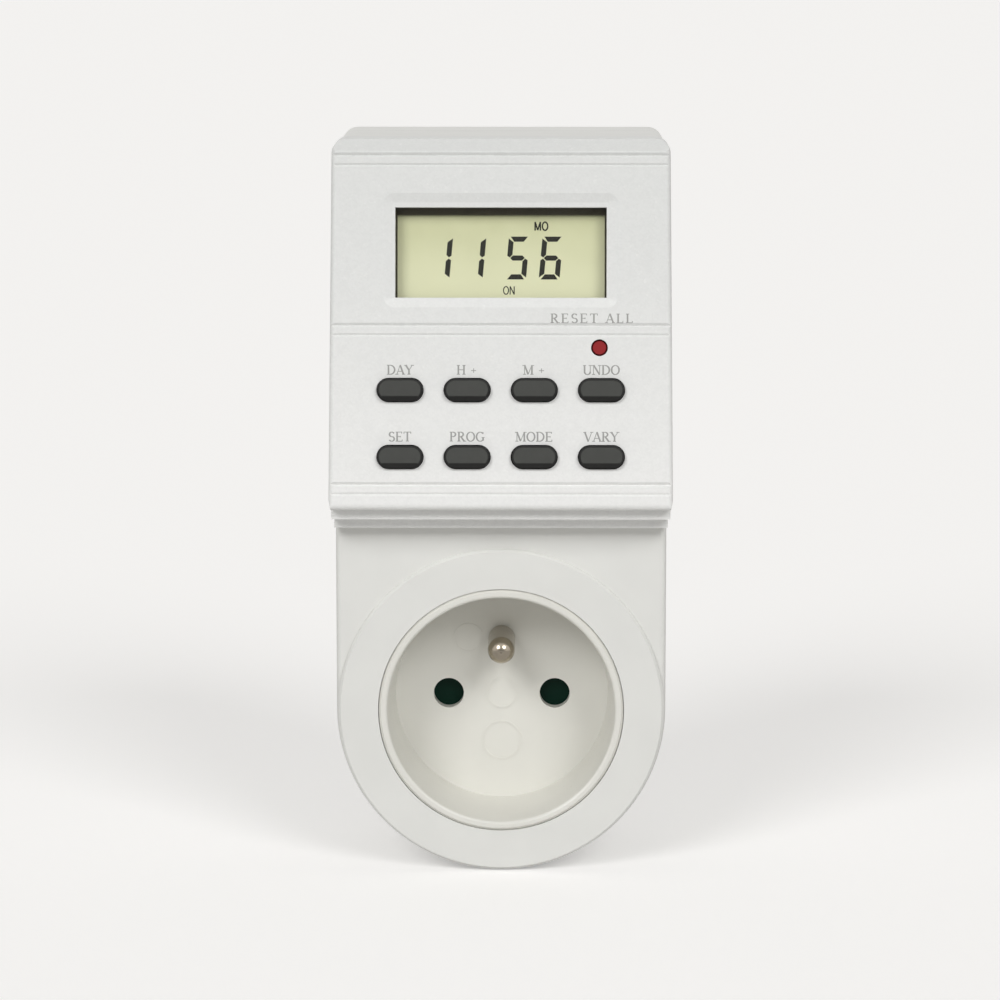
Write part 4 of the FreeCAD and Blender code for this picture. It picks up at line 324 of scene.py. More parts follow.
@dataclass(frozen=True)
class Plastic(Finish):
    """A moulded plastic with a fine skin and a faint mottle.

    The skin is noise a fraction of a millimetre across, as a tool's matt texture leaves it.
    """

    rough: float = 0.42
    rough_spread: float = 0.12
    mottle: float = 0.006
    mottle_mm: float = 9.0
    mottle_range: Range = (0.3, 0.7)
    skin_mm: float = 0.25
    skin_depth_mm: float = 0.006
    specular: float = 0.5
    coat: float = 0.0
    coat_rough: float = 0.12

    def tone(self, g: Graph) -> Socket:
        """Mixes two close tones by a slow noise."""
        share = g.noise(self.mottle_mm).step(*self.mottle_range)
        dark = linear(scaled(self.shade, 1.0 - self.mottle))
        light = linear(scaled(self.shade, 1.0 + self.mottle))
        return g.mixed(share, dark, light)

    def shader(self, g: Graph) -> Socket:
        """Puts the tone on a bumped skin."""
        skin = g.noise(self.skin_mm, detail=3.0)
        return g.principled(
            Base_Color=self.tone(g),
            Roughness=self.rough + self.rough_spread * (skin - 0.5),
            Specular_IOR_Level=self.specular,
            Coat_Weight=self.coat,
            Coat_Roughness=self.coat_rough,
            Normal=g.bumped(skin, self.skin_depth_mm),
        )


@dataclass(frozen=True)
class CoverPlastic(Plastic):
    """The covers' plastic, with a hairline of shade where the front and rear covers meet."""

    parting_m: float = 0.0
    gap_mm: float = 0.16
    gap_shade: float = 0.4
    gap_depth: float = 0.6

    def tone(self, g: Graph) -> Socket:
        """Darkens the tone within half the gap of the parting plane, which is square to Y."""
        away = g.maths("ABSOLUTE", g.along(Axis.Y) - self.parting_m)
        half = self.gap_mm * MM / 2
        near = 1.0 - away.step(half / 2, half)
        return g.mixed(self.gap_depth * near, super().tone(g), linear(scaled(self.shade, self.gap_shade)))


@dataclass(frozen=True)
class KeyRubber(Finish):
    """A dark key whose sides carry painted shade, darker than its flat top, which is rubbed unevenly paler.
    """

    # Painted shade: the side colour is darker than the top to stand for the shade on the key's bevels.
    side: Shade
    level_mm: float
    up: tuple[float, float, float]
    rough: float = 0.5
    rough_spread: float = 0.1
    specular: float = 0.35
    edge_mm: float = 0.12
    wear: float = 1.06
    wear_mm: float = 2.5
    wear_range: Range = (0.3, 0.8)
    skin_depth_mm: float = 0.01

    def shader(self, g: Graph) -> Socket:
        """Tells top from side by how far the point lies along the key's upright; the side takes the painted
        shade.
        """
        top = g.dot(self.up).step((self.level_mm - self.edge_mm) * MM, self.level_mm * MM)
        haze = g.haze()
        wear = g.noise(self.wear_mm).step(*self.wear_range)
        pale = g.mixed(wear, linear(self.shade), linear(scaled(self.shade, self.wear)))
        return g.principled(
            Base_Color=g.mixed(top, linear(self.side), pale),
            Roughness=self.rough + self.rough_spread * haze,
            Specular_IOR_Level=self.specular,
            Normal=g.bumped(haze, self.skin_depth_mm),
        )


@dataclass(frozen=True)
class FrostedPlastic(Finish):
    """A pale plastic with a fine spark-eroded grain, sparse painted glints and painted light that makes its
    foot paler.
    """

    # Painted light: the lighter foot colour stands in for the head being lit more brightly low down.
    painted_light_foot_shade: Shade = (238, 238, 236)
    foot_mm: float = 34.0
    head_mm: float = 92.0
    grain_mm: float = 0.36
    grain_depth_mm: float = 0.01
    drift_mm: float = 1.3
    dark: float = 0.985
    dark_range: Range = (0.4, 1.0)
    light: float = 1.03
    glint_rarity: float = 0.95
    glint_range: Range = (0.45, 0.65)
    glint_depth: float = 0.2
    rough: float = 0.36
    rough_spread: float = 0.14

    def shader(self, g: Graph) -> Socket:
        """Grades the ground from foot to head as painted light, darkens it by the grain and adds painted
        glints.
        """
        grain = g.cells(self.grain_mm)
        drift = g.noise(self.drift_mm, detail=3.0)
        # Painted light: the ground grades from the lighter foot colour up to the head colour, standing in
        # for brighter light low on the head.
        height = g.along(Axis.Z).step(self.foot_mm * MM, self.head_mm * MM)
        ground = g.mixed(height, linear(self.painted_light_foot_shade), linear(self.shade))
        deep = [linear(scaled(shade, self.dark)) for shade in (self.painted_light_foot_shade, self.shade)]
        pits = g.mixed(height, *deep)
        share = (grain * 0.5 + drift).step(*self.dark_range)
        # Painted glints: sparse cells paler than the ground stand in for sparks of light off the grain.
        painted_glint = (grain > self.glint_rarity) * drift.step(*self.glint_range) * self.glint_depth
        glint_shade = linear(scaled(self.painted_light_foot_shade, self.light))
        return g.principled(
            Base_Color=g.mixed(painted_glint, g.mixed(share, pits, ground), glint_shade),
            Roughness=self.rough + self.rough_spread * drift,
            Normal=g.bumped(grain * 0.5 + g.noise(0.5, detail=3.0), self.grain_depth_mm),
        )


@dataclass(frozen=True)
class Metal(Finish):
    """A plated or bare metal with fine marks drawn out along one axis."""

    rough: float = 0.25
    rough_low: float = 0.05
    rough_spread: float = 0.12
    drawn: Axis = Axis.Y
    tarnish: float = 0.06
    stain_mm: float = 2.5
    stain_range: Range = (0.35, 0.75)
    mark_mm: float = 0.12
    mark_shrink: float = 0.04
    mark_depth_mm: float = 0.0015

    def shader(self, g: Graph) -> Socket:
        """Draws noise out into marks and mixes in a slightly darker stain."""
        marks = g.noise(self.mark_mm, at=g.stretched(self.drawn, self.mark_shrink))
        stain = g.noise(self.stain_mm, detail=3.0).step(*self.stain_range)
        dull = linear(scaled(self.shade, 1.0 - self.tarnish))
        return g.principled(
            Base_Color=g.mixed(stain, linear(self.shade), dull),
            Metallic=1.0,
            Roughness=self.rough - self.rough_low + self.rough_spread * marks,
            Normal=g.bumped(marks, self.mark_depth_mm),
        )


@dataclass(frozen=True)
class Banded(Finish):
    """Two colours in turn along an axis, as on a ribbon's cores, a winding or a striped lead."""

    band: Shade
    axis: Axis
    pitch_mm: float
    share: float = 0.5
    soft: float = 0.03
    rough: float = 0.35
    rough_spread: float = 0.1
    ridge_mm: float = 0.05

    def shader(self, g: Graph) -> Socket:
        """Folds the way along the axis into a zigzag and cuts the bands from it."""
        zigzag = g.maths("PINGPONG", g.along(self.axis) / (self.pitch_mm * MM), 0.5)
        edge = 0.5 - self.share / 2
        banded = zigzag.step(edge - self.soft, edge + self.soft)
        uneven = self.rough_spread * g.haze()
        return g.principled(
            Base_Color=g.mixed(banded, linear(self.shade), linear(self.band)),
            Roughness=self.rough + uneven,
            Normal=g.bumped(zigzag + uneven, self.ridge_mm),
        )


@dataclass(frozen=True)
class Laminate(Finish):
    """A printed board: a coat of lacquer over copper tracks that show through as paler lines."""

    track: Shade
    pitch_mm: float = 2.54
    jitter: float = 0.55
    inner_edge: Range = (0.40, 0.44)
    outer_edge: Range = (0.52, 0.56)
    track_depth: float = 0.7
    track_height_mm: float = 0.03
    weave_mm: float = 0.4
    weave: float = 1.12
    rough: float = 0.28
    rough_spread: float = 0.12

    def shader(self, g: Graph) -> Socket:
        """Takes the tracks from the borders of nearly square cells."""
        inputs = {"Vector": g.place(), "Scale": 1.0 / (self.pitch_mm * MM), "Randomness": self.jitter}
        reach = g.add("ShaderNodeTexVoronoi", {"distance": "CHEBYCHEV"}, inputs, output="Distance")
        track = reach.step(*self.inner_edge) - reach.step(*self.outer_edge)
        weave = g.noise(self.weave_mm)
        ground = g.mixed(weave, linear(self.shade), linear(scaled(self.shade, self.weave)))
        return g.principled(
            Base_Color=g.mixed(track * self.track_depth, ground, linear(self.track)),
            Roughness=self.rough + self.rough_spread * weave,
            Normal=g.bumped(track + 0.2 * weave, self.track_height_mm),
        )


@dataclass(frozen=True)
class ClearPane(Finish):
    """A thin clear window: next to nothing face on, and a mirror of the room at a low angle."""

    faint: float = 0.012
    glare: float = 0.96
    rough: float = 0.03
    rough_spread: float = 0.05
    smear_mm: float = 4.0

    def shader(self, g: Graph) -> Socket:
        """Lets the alpha rise as faint + glare * facing^5, alike for both sides of the pane."""
        facing_away = g.add("ShaderNodeLayerWeight", inputs={"Blend": 0.5}, output="Facing")
        square = facing_away * facing_away
        return g.principled(
            Base_Color=linear(self.shade),
            Roughness=self.rough + self.rough_spread * g.noise(self.smear_mm, detail=3.0),
            Metallic=1.0,
            Alpha=self.glare * square * square * facing_away + self.faint,
        )


@dataclass(frozen=True)
class LiquidCrystal(Finish):
    """The display's reflector, grey-green above and paler below, with a faint even grain."""

    lower: Shade
    low_mm: float
    high_mm: float
    cloud: float = 1.01
    cloud_mm: float = 7.0
    cloud_range: Range = (0.25, 0.75)
    cloud_depth: float = 0.3
    grain_mm: float = 0.18
    grain_depth_mm: float = 0.002
    rough: float = 0.4
    rough_spread: float = 0.1

    def shader(self, g: Graph) -> Socket:
        """Grades the colour between two heights under a slow cloud."""
        share = g.along(Axis.Z).step(self.low_mm * MM, self.high_mm * MM)
        cloud = g.noise(self.cloud_mm).step(*self.cloud_range)
        grain = g.noise(self.grain_mm)
        ground = g.mixed(share, linear(self.lower), linear(self.shade))
        return g.principled(
            Base_Color=g.mixed(cloud * self.cloud_depth, ground, linear(scaled(self.lower, self.cloud))),
            Roughness=self.rough + self.rough_spread * grain,
            Normal=g.bumped(grain, self.grain_depth_mm),
        )


@dataclass(frozen=True)
class Ink(Finish):
    """Printed ink or a darkened segment, slightly uneven in density."""

    rough: float = 0.5
    rough_spread: float = 0.05
    specular: float = 0.3
    uneven: float = 0.06
    uneven_mm: float = 0.35

    def shader(self, g: Graph) -> Socket:
        """Mixes two close tones by a fine noise."""
        density = g.noise(self.uneven_mm)
        thin = linear(scaled(self.shade, 1.0 + self.uneven))
        return g.principled(
            Base_Color=g.mixed(density, linear(self.shade), thin),
            Roughness=self.rough + self.rough_spread * density,
            Specular_IOR_Level=self.specular,
        )


def dress(node: str, material: bpy.types.Material) -> None:
    """Gives a node of the frame its material.

    Args:
        node: The node's name.
        material: The material for all of its surface.
    """
    piece = frame["nodes"][node]
    if not piece.material_slots:
        piece.data.materials.append(material)
    for slot in piece.material_slots:
        slot.material = material
    LOG.info("%s dressed in %s", node, material.name)


def dress_all(looks: dict[str, Finish], nodes: dict[str, str]) -> None:
    """Dresses many nodes.

    Args:
        looks: Each finish under a short key.
        nodes: The key of the finish of each node.
    """
    made = {key: finish.material() for key, finish in looks.items()}
    for node, key in nodes.items():
        dress(node, made[key])


def new_piece(name: str, points: np.ndarray, faces: Sequence[Sequence[int]], finish: Finish, body: Body,
              smooth: bool = False) -> bpy.types.Object:
    """Puts a computed surface into a mesh and makes it a piece of the object.

    Args:
        name: The piece's name.
        points: Its vertices, one row each, in metres.
        faces: The vertices of each face, outwards by the right-hand rule.
        finish: Its finish.
        body: The body it rides on.
        smooth: Whether its faces are shaded smooth.

    Returns:
        The piece.
    """
    mesh = bpy.data.meshes.new(name)
    mesh.from_pydata(points.tolist(), [], [tuple(int(i) for i in face) for face in faces])
    mesh.polygons.foreach_set("use_smooth", np.full(len(mesh.polygons), smooth))
    mesh.materials.append(finish.material())
    mesh.validate()
    piece = bpy.data.objects.new(name, mesh)
    bpy.context.scene.collection.objects.link(piece)
    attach(piece, body.value)
    LOG.info("%s built: %d faces, rides on %s", name, len(mesh.polygons), body.value)
    return piece


def points_of(node: str) -> np.ndarray:
    """A node's vertices in metres, one row each."""
    mesh = frame["nodes"][node].data
    flat = np.empty(len(mesh.vertices) * 3, np.float32)
    mesh.vertices.foreach_get("co", flat)
    return flat.reshape(-1, 3)


def merged(node: str) -> tuple[np.ndarray, np.ndarray]:
    """A copy of a node's surface in which the triangles share their corners.

    Args:
        node: The node's name.

    Returns:
        Its points in metres, and the three points of each triangle.
    """
    mesh = frame["nodes"][node].data
    corners = np.empty(len(mesh.loops), np.int32)
    mesh.loops.foreach_get("vertex_index", corners)
    points, shared = np.unique(points_of(node).round(7), axis=0, return_inverse=True)
    return points, shared.ravel()[corners].reshape(-1, 3)


@dataclass
class FacePlane:
    """The head's leaning face. Places on it are across, up along it and out of it, in millimetres."""

    foot_up_mm: float = 36.85
    foot_out_mm: float = 65.2
    lean: float = 8.0

    def world(self, across: np.ndarray, up: np.ndarray, out: np.ndarray) -> np.ndarray:
        """Turns places on the face into points of the frame.

        The face leans back by its angle, so up runs along (0, sin, cos) and out along (0, -cos, sin).

        Args:
            across: Millimetres to the right of the middle.
            up: Millimetres up along the face from its foot.
            out: Millimetres out of the face.

        Returns:
            One row per point, in metres.
        """
        cosine, sine = math.cos(math.radians(self.lean)), math.sin(math.radians(self.lean))
        y = -(self.foot_out_mm + out * cosine - up * sine)
        z = self.foot_up_mm + up * cosine + out * sine
        return np.stack(np.broadcast_arrays(across, y, z), axis=-1) * MM

    def outward(self) -> tuple[float, float, float]:
        """The direction out of the face."""
        return (0.0, -math.cos(math.radians(self.lean)), math.sin(math.radians(self.lean)))

    def reach(self, node: str) -> float:
        """How far a node reaches along the outward direction from the origin, in millimetres."""
        return float((points_of(node) @ np.array(self.outward())).max() / MM)

    def front_of(self, node: str) -> float:
        """How far the front of a node stands out of the face, in millimetres."""
        foot = self.world(np.zeros(1), np.zeros(1), np.zeros(1))[0]
        return self.reach(node) - float(foot @ np.array(self.outward())) / MM


class Slabs:
    """Flat shapes a few hundredths of a millimetre thick, gathered into one mesh on the face.

    Shapes that cross, such as the strokes of a letter, stand at slightly different heights: one of
    a few levels in turn, each higher than the one before by a share of the thickness.
    """

    LEVELS: ClassVar[int] = 5
    RISE: ClassVar[float] = 0.02

    def __init__(self, plane: FacePlane, base_mm: float, thick_mm: float) -> None:
        """Starts an empty set that stands on a level of the face."""
        self.plane = plane
        self.base = base_mm
        self.thick = thick_mm
        self.points: list[np.ndarray] = []
        self.faces: list[list[int]] = []
        self.count = 0

    def outline(self, corners: np.ndarray) -> None:
        """Adds a closed outline as a slab: its outline at two levels, with walls between.

        Args:
            corners: Across and up of each corner in order, in millimetres.
        """
        x, y = corners.T
        area = np.sum(x * np.roll(y, -1) - y * np.roll(x, -1))
        loop = corners if area > 0 else corners[::-1]
        size = len(loop)
        sunk = self.base - self.thick
        raised = self.base + self.thick * (1.0 + self.RISE * (self.count % self.LEVELS))
        levels = [self.plane.world(*loop.T, np.full(size, level)) for level in (sunk, raised)]
        start = sum(len(part) for part in self.points)
        self.points.append(np.concatenate(levels))
        ring = np.arange(size)
        following = np.roll(ring, -1)
        walls = np.stack([ring, following, following + size, ring + size], axis=1) + start
        self.faces += walls.tolist()
        self.faces.append((ring + size + start).tolist())
        self.faces.append((ring[::-1] + start).tolist())
        self.count += 1

    def stroke(self, line: np.ndarray, widths: np.ndarray) -> None:
        """Adds a stroke: its line pushed to both sides by half of its width.

        Args:
            line: Across and up of the points along the stroke, in millimetres.
            widths: The stroke's width at each point, in millimetres.
        """
        ahead = np.gradient(line, axis=0)
        ahead /= np.linalg.norm(ahead, axis=1)[:, None]
        side = np.stack([-ahead[:, 1], ahead[:, 0]], axis=1) * widths[:, None] / 2
        self.outline(np.concatenate([line + side, (line - side)[::-1]]))

    def make(self, name: str, finish: Finish, body: Body) -> None:
        """Makes the set one piece of the object."""
        new_piece(name, np.concatenate(self.points), self.faces, finish, body)


# Capital letters in units of their height: how far the next letter stands, and the strokes.
# A stem or hair has its two ends, a serif its middle, and a bowl its centre, radii and angles.
GLYPHS: dict[str, tuple[float, list[tuple]]] = {
    "A": (0.80, [
        (Pen.HAIR, 0.08, 0, 0.38, 1), (Pen.STEM, 0.38, 1, 0.69, 0),
        (Pen.HAIR, 0.18, 0.34, 0.58, 0.34), (Pen.SERIF, 0.08, 0), (Pen.SERIF, 0.69, 0),
    ]),
    "D": (0.84, [
        (Pen.STEM, 0.16, 0, 0.16, 1), (Pen.BOWL, 0.30, 0.5, 0.42, 0.475, -90, 90),
        (Pen.HAIR, 0.02, 0.975, 0.32, 0.975), (Pen.HAIR, 0.02, 0.025, 0.32, 0.025),
    ]),
    "E": (0.72, [
        (Pen.STEM, 0.16, 0, 0.16, 1), (Pen.HAIR, 0.02, 0.975, 0.58, 0.975),
        (Pen.HAIR, 0.16, 0.5, 0.46, 0.5), (Pen.HAIR, 0.02, 0.025, 0.62, 0.025),
        (Pen.HAIR, 0.58, 1, 0.58, 0.82), (Pen.HAIR, 0.62, 0, 0.62, 0.2),
        (Pen.HAIR, 0.46, 0.42, 0.46, 0.58),
    ]),
    "G": (0.84, [
        (Pen.BOWL, 0.43, 0.5, 0.34, 0.475, 42, 318), (Pen.STEM, 0.69, 0.1, 0.69, 0.42),
        (Pen.SERIF, 0.69, 0.42), (Pen.HAIR, 0.69, 0.98, 0.69, 0.78),
    ]),
    "H": (0.84, [
        (Pen.STEM, 0.15, 0, 0.15, 1), (Pen.STEM, 0.66, 0, 0.66, 1),
        (Pen.HAIR, 0.15, 0.5, 0.66, 0.5), (Pen.SERIF, 0.15, 0), (Pen.SERIF, 0.15, 1),
        (Pen.SERIF, 0.66, 0), (Pen.SERIF, 0.66, 1),
    ]),
    "L": (0.68, [
        (Pen.STEM, 0.16, 0, 0.16, 1), (Pen.HAIR, 0.02, 0.025, 0.58, 0.025),
        (Pen.HAIR, 0.58, 0, 0.58, 0.22), (Pen.SERIF, 0.16, 1),
    ]),
    "M": (0.98, [
        (Pen.HAIR, 0.13, 0, 0.13, 1), (Pen.STEM, 0.13, 1, 0.46, 0.04),
        (Pen.HAIR, 0.46, 0.04, 0.80, 1), (Pen.STEM, 0.80, 0, 0.80, 1), (Pen.SERIF, 0.13, 0),
        (Pen.SERIF, 0.80, 0), (Pen.SERIF, 0.08, 1), (Pen.SERIF, 0.86, 1),
    ]),
    "N": (0.84, [
        (Pen.HAIR, 0.13, 0, 0.13, 1), (Pen.STEM, 0.13, 1, 0.68, 0), (Pen.HAIR, 0.68, 0, 0.68, 1),
        (Pen.SERIF, 0.13, 0), (Pen.SERIF, 0.10, 1), (Pen.SERIF, 0.68, 1),
    ]),
    "O": (0.86, [(Pen.BOWL, 0.42, 0.5, 0.34, 0.475, 0, 360)]),
    "P": (0.70, [
        (Pen.STEM, 0.16, 0, 0.16, 1), (Pen.BOWL, 0.30, 0.74, 0.25, 0.235, -90, 90),
        (Pen.HAIR, 0.02, 0.975, 0.32, 0.975), (Pen.HAIR, 0.16, 0.505, 0.32, 0.505),
        (Pen.SERIF, 0.16, 0),
    ]),
    "R": (0.80, [
        (Pen.STEM, 0.16, 0, 0.16, 1), (Pen.BOWL, 0.30, 0.74, 0.25, 0.235, -90, 90),
        (Pen.HAIR, 0.02, 0.975, 0.32, 0.975), (Pen.HAIR, 0.16, 0.505, 0.34, 0.505),
        (Pen.STEM, 0.34, 0.5, 0.66, 0), (Pen.SERIF, 0.16, 0), (Pen.SERIF, 0.69, 0),
    ]),
    "S": (0.64, [
        (Pen.BOWL, 0.32, 0.735, 0.21, 0.24, 25, 275), (Pen.BOWL, 0.31, 0.26, 0.23, 0.24, 95, -155),
    ]),
    "T": (0.76, [
        (Pen.STEM, 0.37, 0, 0.37, 1), (Pen.HAIR, 0.06, 0.975, 0.68, 0.975),
        (Pen.HAIR, 0.06, 1, 0.06, 0.8), (Pen.HAIR, 0.68, 1, 0.68, 0.8), (Pen.SERIF, 0.37, 0),
    ]),
    "U": (0.84, [
        (Pen.STEM, 0.15, 0.32, 0.15, 1), (Pen.BOWL, 0.41, 0.32, 0.26, 0.30, 180, 360),
        (Pen.HAIR, 0.67, 0.32, 0.67, 1), (Pen.SERIF, 0.15, 1), (Pen.SERIF, 0.67, 1),
    ]),
    "V": (0.80, [
        (Pen.STEM, 0.08, 1, 0.40, 0), (Pen.HAIR, 0.40, 0, 0.71, 1), (Pen.SERIF, 0.08, 1),
        (Pen.SERIF, 0.71, 1),
    ]),
    "Y": (0.78, [
        (Pen.STEM, 0.08, 1, 0.38, 0.46), (Pen.HAIR, 0.69, 1, 0.38, 0.46),
        (Pen.STEM, 0.38, 0, 0.38, 0.46), (Pen.SERIF, 0.08, 1), (Pen.SERIF, 0.69, 1),
        (Pen.SERIF, 0.38, 0),
    ]),
    "+": (0.72, [(Pen.HAIR, 0.12, 0.42, 0.58, 0.42), (Pen.HAIR, 0.35, 0.19, 0.35, 0.65)]),
    " ": (0.34, []),
}


@dataclass(frozen=True)
class Lettering:
    """A hand for capital letters.

    The strokes' widths, the serifs' half length and the space between letters are shares of the
    height. Broad is a widening of the letters.
    """

    height_mm: float = 1.65
    stem: float = 0.17
    hair: float = 0.075
    serif: float = 0.14
    broad: float = 1.15
    space: float = 0.0

    BOWL_POINTS: ClassVar[int] = 25

    def advance(self, letter: str) -> float:
        """How far the next letter stands from this one, in millimetres."""
        return (GLYPHS[letter][0] * self.broad + self.space) * self.height_mm

    def line(self, kind: Pen, numbers: Sequence[float]) -> tuple[np.ndarray, np.ndarray]:
        """Works out one stroke in units of the letter's height.

        A bowl is a run of an ellipse whose width goes from thin at its top and foot to thick at its
        sides, by the size of the cosine of its angle.

        Args:
            kind: The kind of stroke.
            numbers: Its numbers in the glyph table.

        Returns:
            The points along it, and its width at each.
        """
        if kind is Pen.SERIF:
            x, y = numbers
            level = min(max(y, self.hair / 2), 1.0 - self.hair / 2)
            return np.array([[x - self.serif, level], [x + self.serif, level]]), np.full(2, self.hair)
        if kind is Pen.BOWL:
            x, y, wide, high, first, last = numbers
            turn = np.radians(np.linspace(first, last, self.BOWL_POINTS))
            points = np.stack([x + wide * np.cos(turn), y + high * np.sin(turn)], axis=1)
            return points, self.hair + (self.stem - self.hair) * np.abs(np.cos(turn))
        width = self.stem if kind is Pen.STEM else self.hair
        return np.array(numbers, float).reshape(2, 2), np.full(2, width)

    def write(self, slabs: Slabs, words: str, middle_mm: float, foot_mm: float) -> None:
        """Draws the words, centred.

        Args:
            slabs: The set that takes the strokes.
            words: The letters.
            middle_mm: Where their middle is across the face.
            foot_mm: Where their foot is up the face.
        """
        pen = middle_mm - sum(self.advance(letter) for letter in words) / 2
        scale = self.height_mm * np.array([self.broad, 1.0])
        for letter in words:
            for kind, *numbers in GLYPHS[letter][1]:
                if kind is not Pen.SERIF or self.serif:
                    points, widths = self.line(kind, numbers)
                    slabs.stroke(points * scale + np.array([pen, foot_mm]), widths * self.height_mm)
            pen += self.advance(letter)


@dataclass(frozen=True)
class SegmentDigit:
    """A leaning seven-segment digit, its strokes mitred where they meet."""

    width_mm: float = 3.6
    height_mm: float = 7.4
    stroke_mm: float = 0.88
    gap_mm: float = 0.1
    slant: float = 0.09

    LIT: ClassVar[dict[str, str]] = {"1": "bc", "5": "afgcd", "6": "afgecd"}

    def outlines(self) -> dict[str, np.ndarray]:
        """The corners of each segment of an upright digit, from its lower left corner."""
        w, h, t, g = self.width_mm, self.height_mm, self.stroke_mm, self.gap_mm
        top = np.array([[g + t / 4, h], [w - g - t / 4, h], [w - t - g, h - t], [t + g, h - t]])
        left = np.array([
            [0, h - g - t / 4], [t, h - t - g], [t, h / 2 + t / 2 + g],
            [t / 2, h / 2 + g], [0, h / 2 + g + t / 3],
        ])
        bar = np.array([
            [t / 2 + g, h / 2], [t + g, h / 2 + t / 2], [w - t - g, h / 2 + t / 2],
            [w - t / 2 - g, h / 2], [w - t - g, h / 2 - t / 2], [t + g, h / 2 - t / 2],
        ])
        over, across = np.array([1.0, -1.0]), np.array([-1.0, 1.0])
        return {
            "a": top, "d": top * over + [0, h], "f": left, "e": left * over + [0, h],
            "b": left * across + [w, 0], "c": left * across * over + [w, h], "g": bar,
        }

    def write(self, slabs: Slabs, digit: str, right_mm: float, foot_mm: float) -> None:
        """Draws one digit.

        Args:
            slabs: The set that takes the segments.
            digit: The digit.
            right_mm: Where its lower right corner is across the face.
            foot_mm: Where its foot is up the face.
        """
        shapes = self.outlines()
        for segment in self.LIT[digit]:
            corners = shapes[segment].copy()
            corners[:, 0] += corners[:, 1] * self.slant + right_mm - self.width_mm
            corners[:, 1] += foot_mm
            slabs.outline(corners)


@dataclass
class Head:
    """The leaning head with its printed words, and the two covers behind it."""

    plane: FacePlane
    hand: Lettering = Lettering()
    upper: tuple[str, ...] = ("DAY", "H +", "M +", "UNDO")
    lower: tuple[str, ...] = ("SET", "PROG", "MODE", "VARY")
    upper_foot_mm: float = 23.45
    lower_foot_mm: float = 11.95
    columns_mm: tuple[float, ...] = (-17.325, -5.775, 5.775, 17.325)
    reset_hand: Lettering = Lettering(1.6, broad=1.22, space=0.18)
    reset_middle_mm: float = 15.8
    reset_foot_mm: float = 32.35
    ink_mm: float = 0.012

    def build(self) -> None:
        """Dresses the covers and prints the words."""
        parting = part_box("front_cover")[1].y
        looks = {
            "shell": CoverPlastic("satin_shell", (225, 225, 221), rough=0.38, parting_m=parting),
            # The frosted head's finish is paler towards its foot by painted light, and carries painted
            # glints.
            "head": FrostedPlastic("frosted_head", (225, 226, 224)),
            "steel": Metal("zinc_screw", ZINC, rough=0.28),
        }
        dress_all(looks, {
            "rear_cover": "shell", "front_cover": "shell", "display_fascia": "head",
            "cover_screws": "steel", "fascia_screws": "steel",
        })
        slabs = Slabs(self.plane, 0.0, self.ink_mm)
        for row, foot in ((self.upper, self.upper_foot_mm), (self.lower, self.lower_foot_mm)):
            for words, middle in zip(row, self.columns_mm):
                self.hand.write(slabs, words, middle, foot)
        self.reset_hand.write(slabs, "RESET ALL", self.reset_middle_mm, self.reset_foot_mm)
        slabs.make("key_legends", Ink("legend_ink", (156, 156, 153)), Body.HOUSING)


@dataclass
class Display:
    """The window, the liquid crystal cell and what it shows."""

    plane: FacePlane
    digit: SegmentDigit = SegmentDigit()
    digits: tuple[tuple[str, float], ...] = (("1", -8.95), ("1", -3.2), ("5", 4.3), ("6", 10.1))
    foot_mm: float = 40.0
    day_hand: Lettering = Lettering(1.5, 0.17, 0.17, 0.0, 0.9)
    day_at_mm: tuple[float, float] = (6.95, 48.45)
    state_hand: Lettering = Lettering(1.4, 0.13, 0.13, 0.0, 0.9)
    state_at_mm: tuple[float, float] = (1.4, 37.4)
    film_mm: float = 0.02

    def build(self) -> None:
        """Dresses the window and draws the segments on the cell."""
        looks = {
            "pane": ClearPane("clear_pane", (235, 238, 240)),
            "black": Plastic("black_frame", (74, 71, 58), rough=0.6, specular=0.15),
            "cell": LiquidCrystal("crystal_cell", (200, 202, 158), (228, 229, 192), 72.0, 90.0),
            "zebra": Banded("zebra_rubber", (60, 60, 62), (28, 28, 30), Axis.X, 0.4, rough=0.6),
        }
        dress_all(looks, {
            "lcd_window": "pane", "lcd_frame": "black", "lcd_panel": "cell", "zebra_strip": "zebra",
        })
        slabs = Slabs(self.plane, self.plane.front_of("lcd_panel"), self.film_mm)
        for digit, right in self.digits:
            self.digit.write(slabs, digit, right, self.foot_mm)
        self.day_hand.write(slabs, "MO", *self.day_at_mm)
        self.state_hand.write(slabs, "ON", *self.state_at_mm)
        slabs.make("display_segments", Ink("dark_segment", (34, 34, 25), rough=0.4), Body.HOUSING)


@dataclass
class Keypad:
    """The eight keys, the button that clears the memory and what lies under them."""

    plane: FacePlane
    keys: tuple[str, ...] = (
        "day_key", "hour_key", "minute_key", "recall_key",
        "clock_key", "program_key", "mode_key", "random_key",
    )

    def build(self) -> None:
        """Dresses the keys and the pieces beneath."""
        level, up = self.plane.reach("day_key"), self.plane.outward()
        looks = {
            # The second colour is the keys' sides in painted shade.
            "key": KeyRubber("dark_key", (62, 63, 60), (28, 28, 27), level, up),
            "reset": Plastic("red_button", (148, 38, 40), rough=0.45, specular=0.2),
            "mat": Plastic("keypad_rubber", (62, 62, 62), rough=0.7),
            "black": Plastic("switch_black", (36, 36, 37), rough=0.45),
        }
        dress_all(looks, {
            **{key: "key" for key in self.keys},
            "reset_button": "reset", "keypad_mat": "mat", "reset_switch": "black",
        })


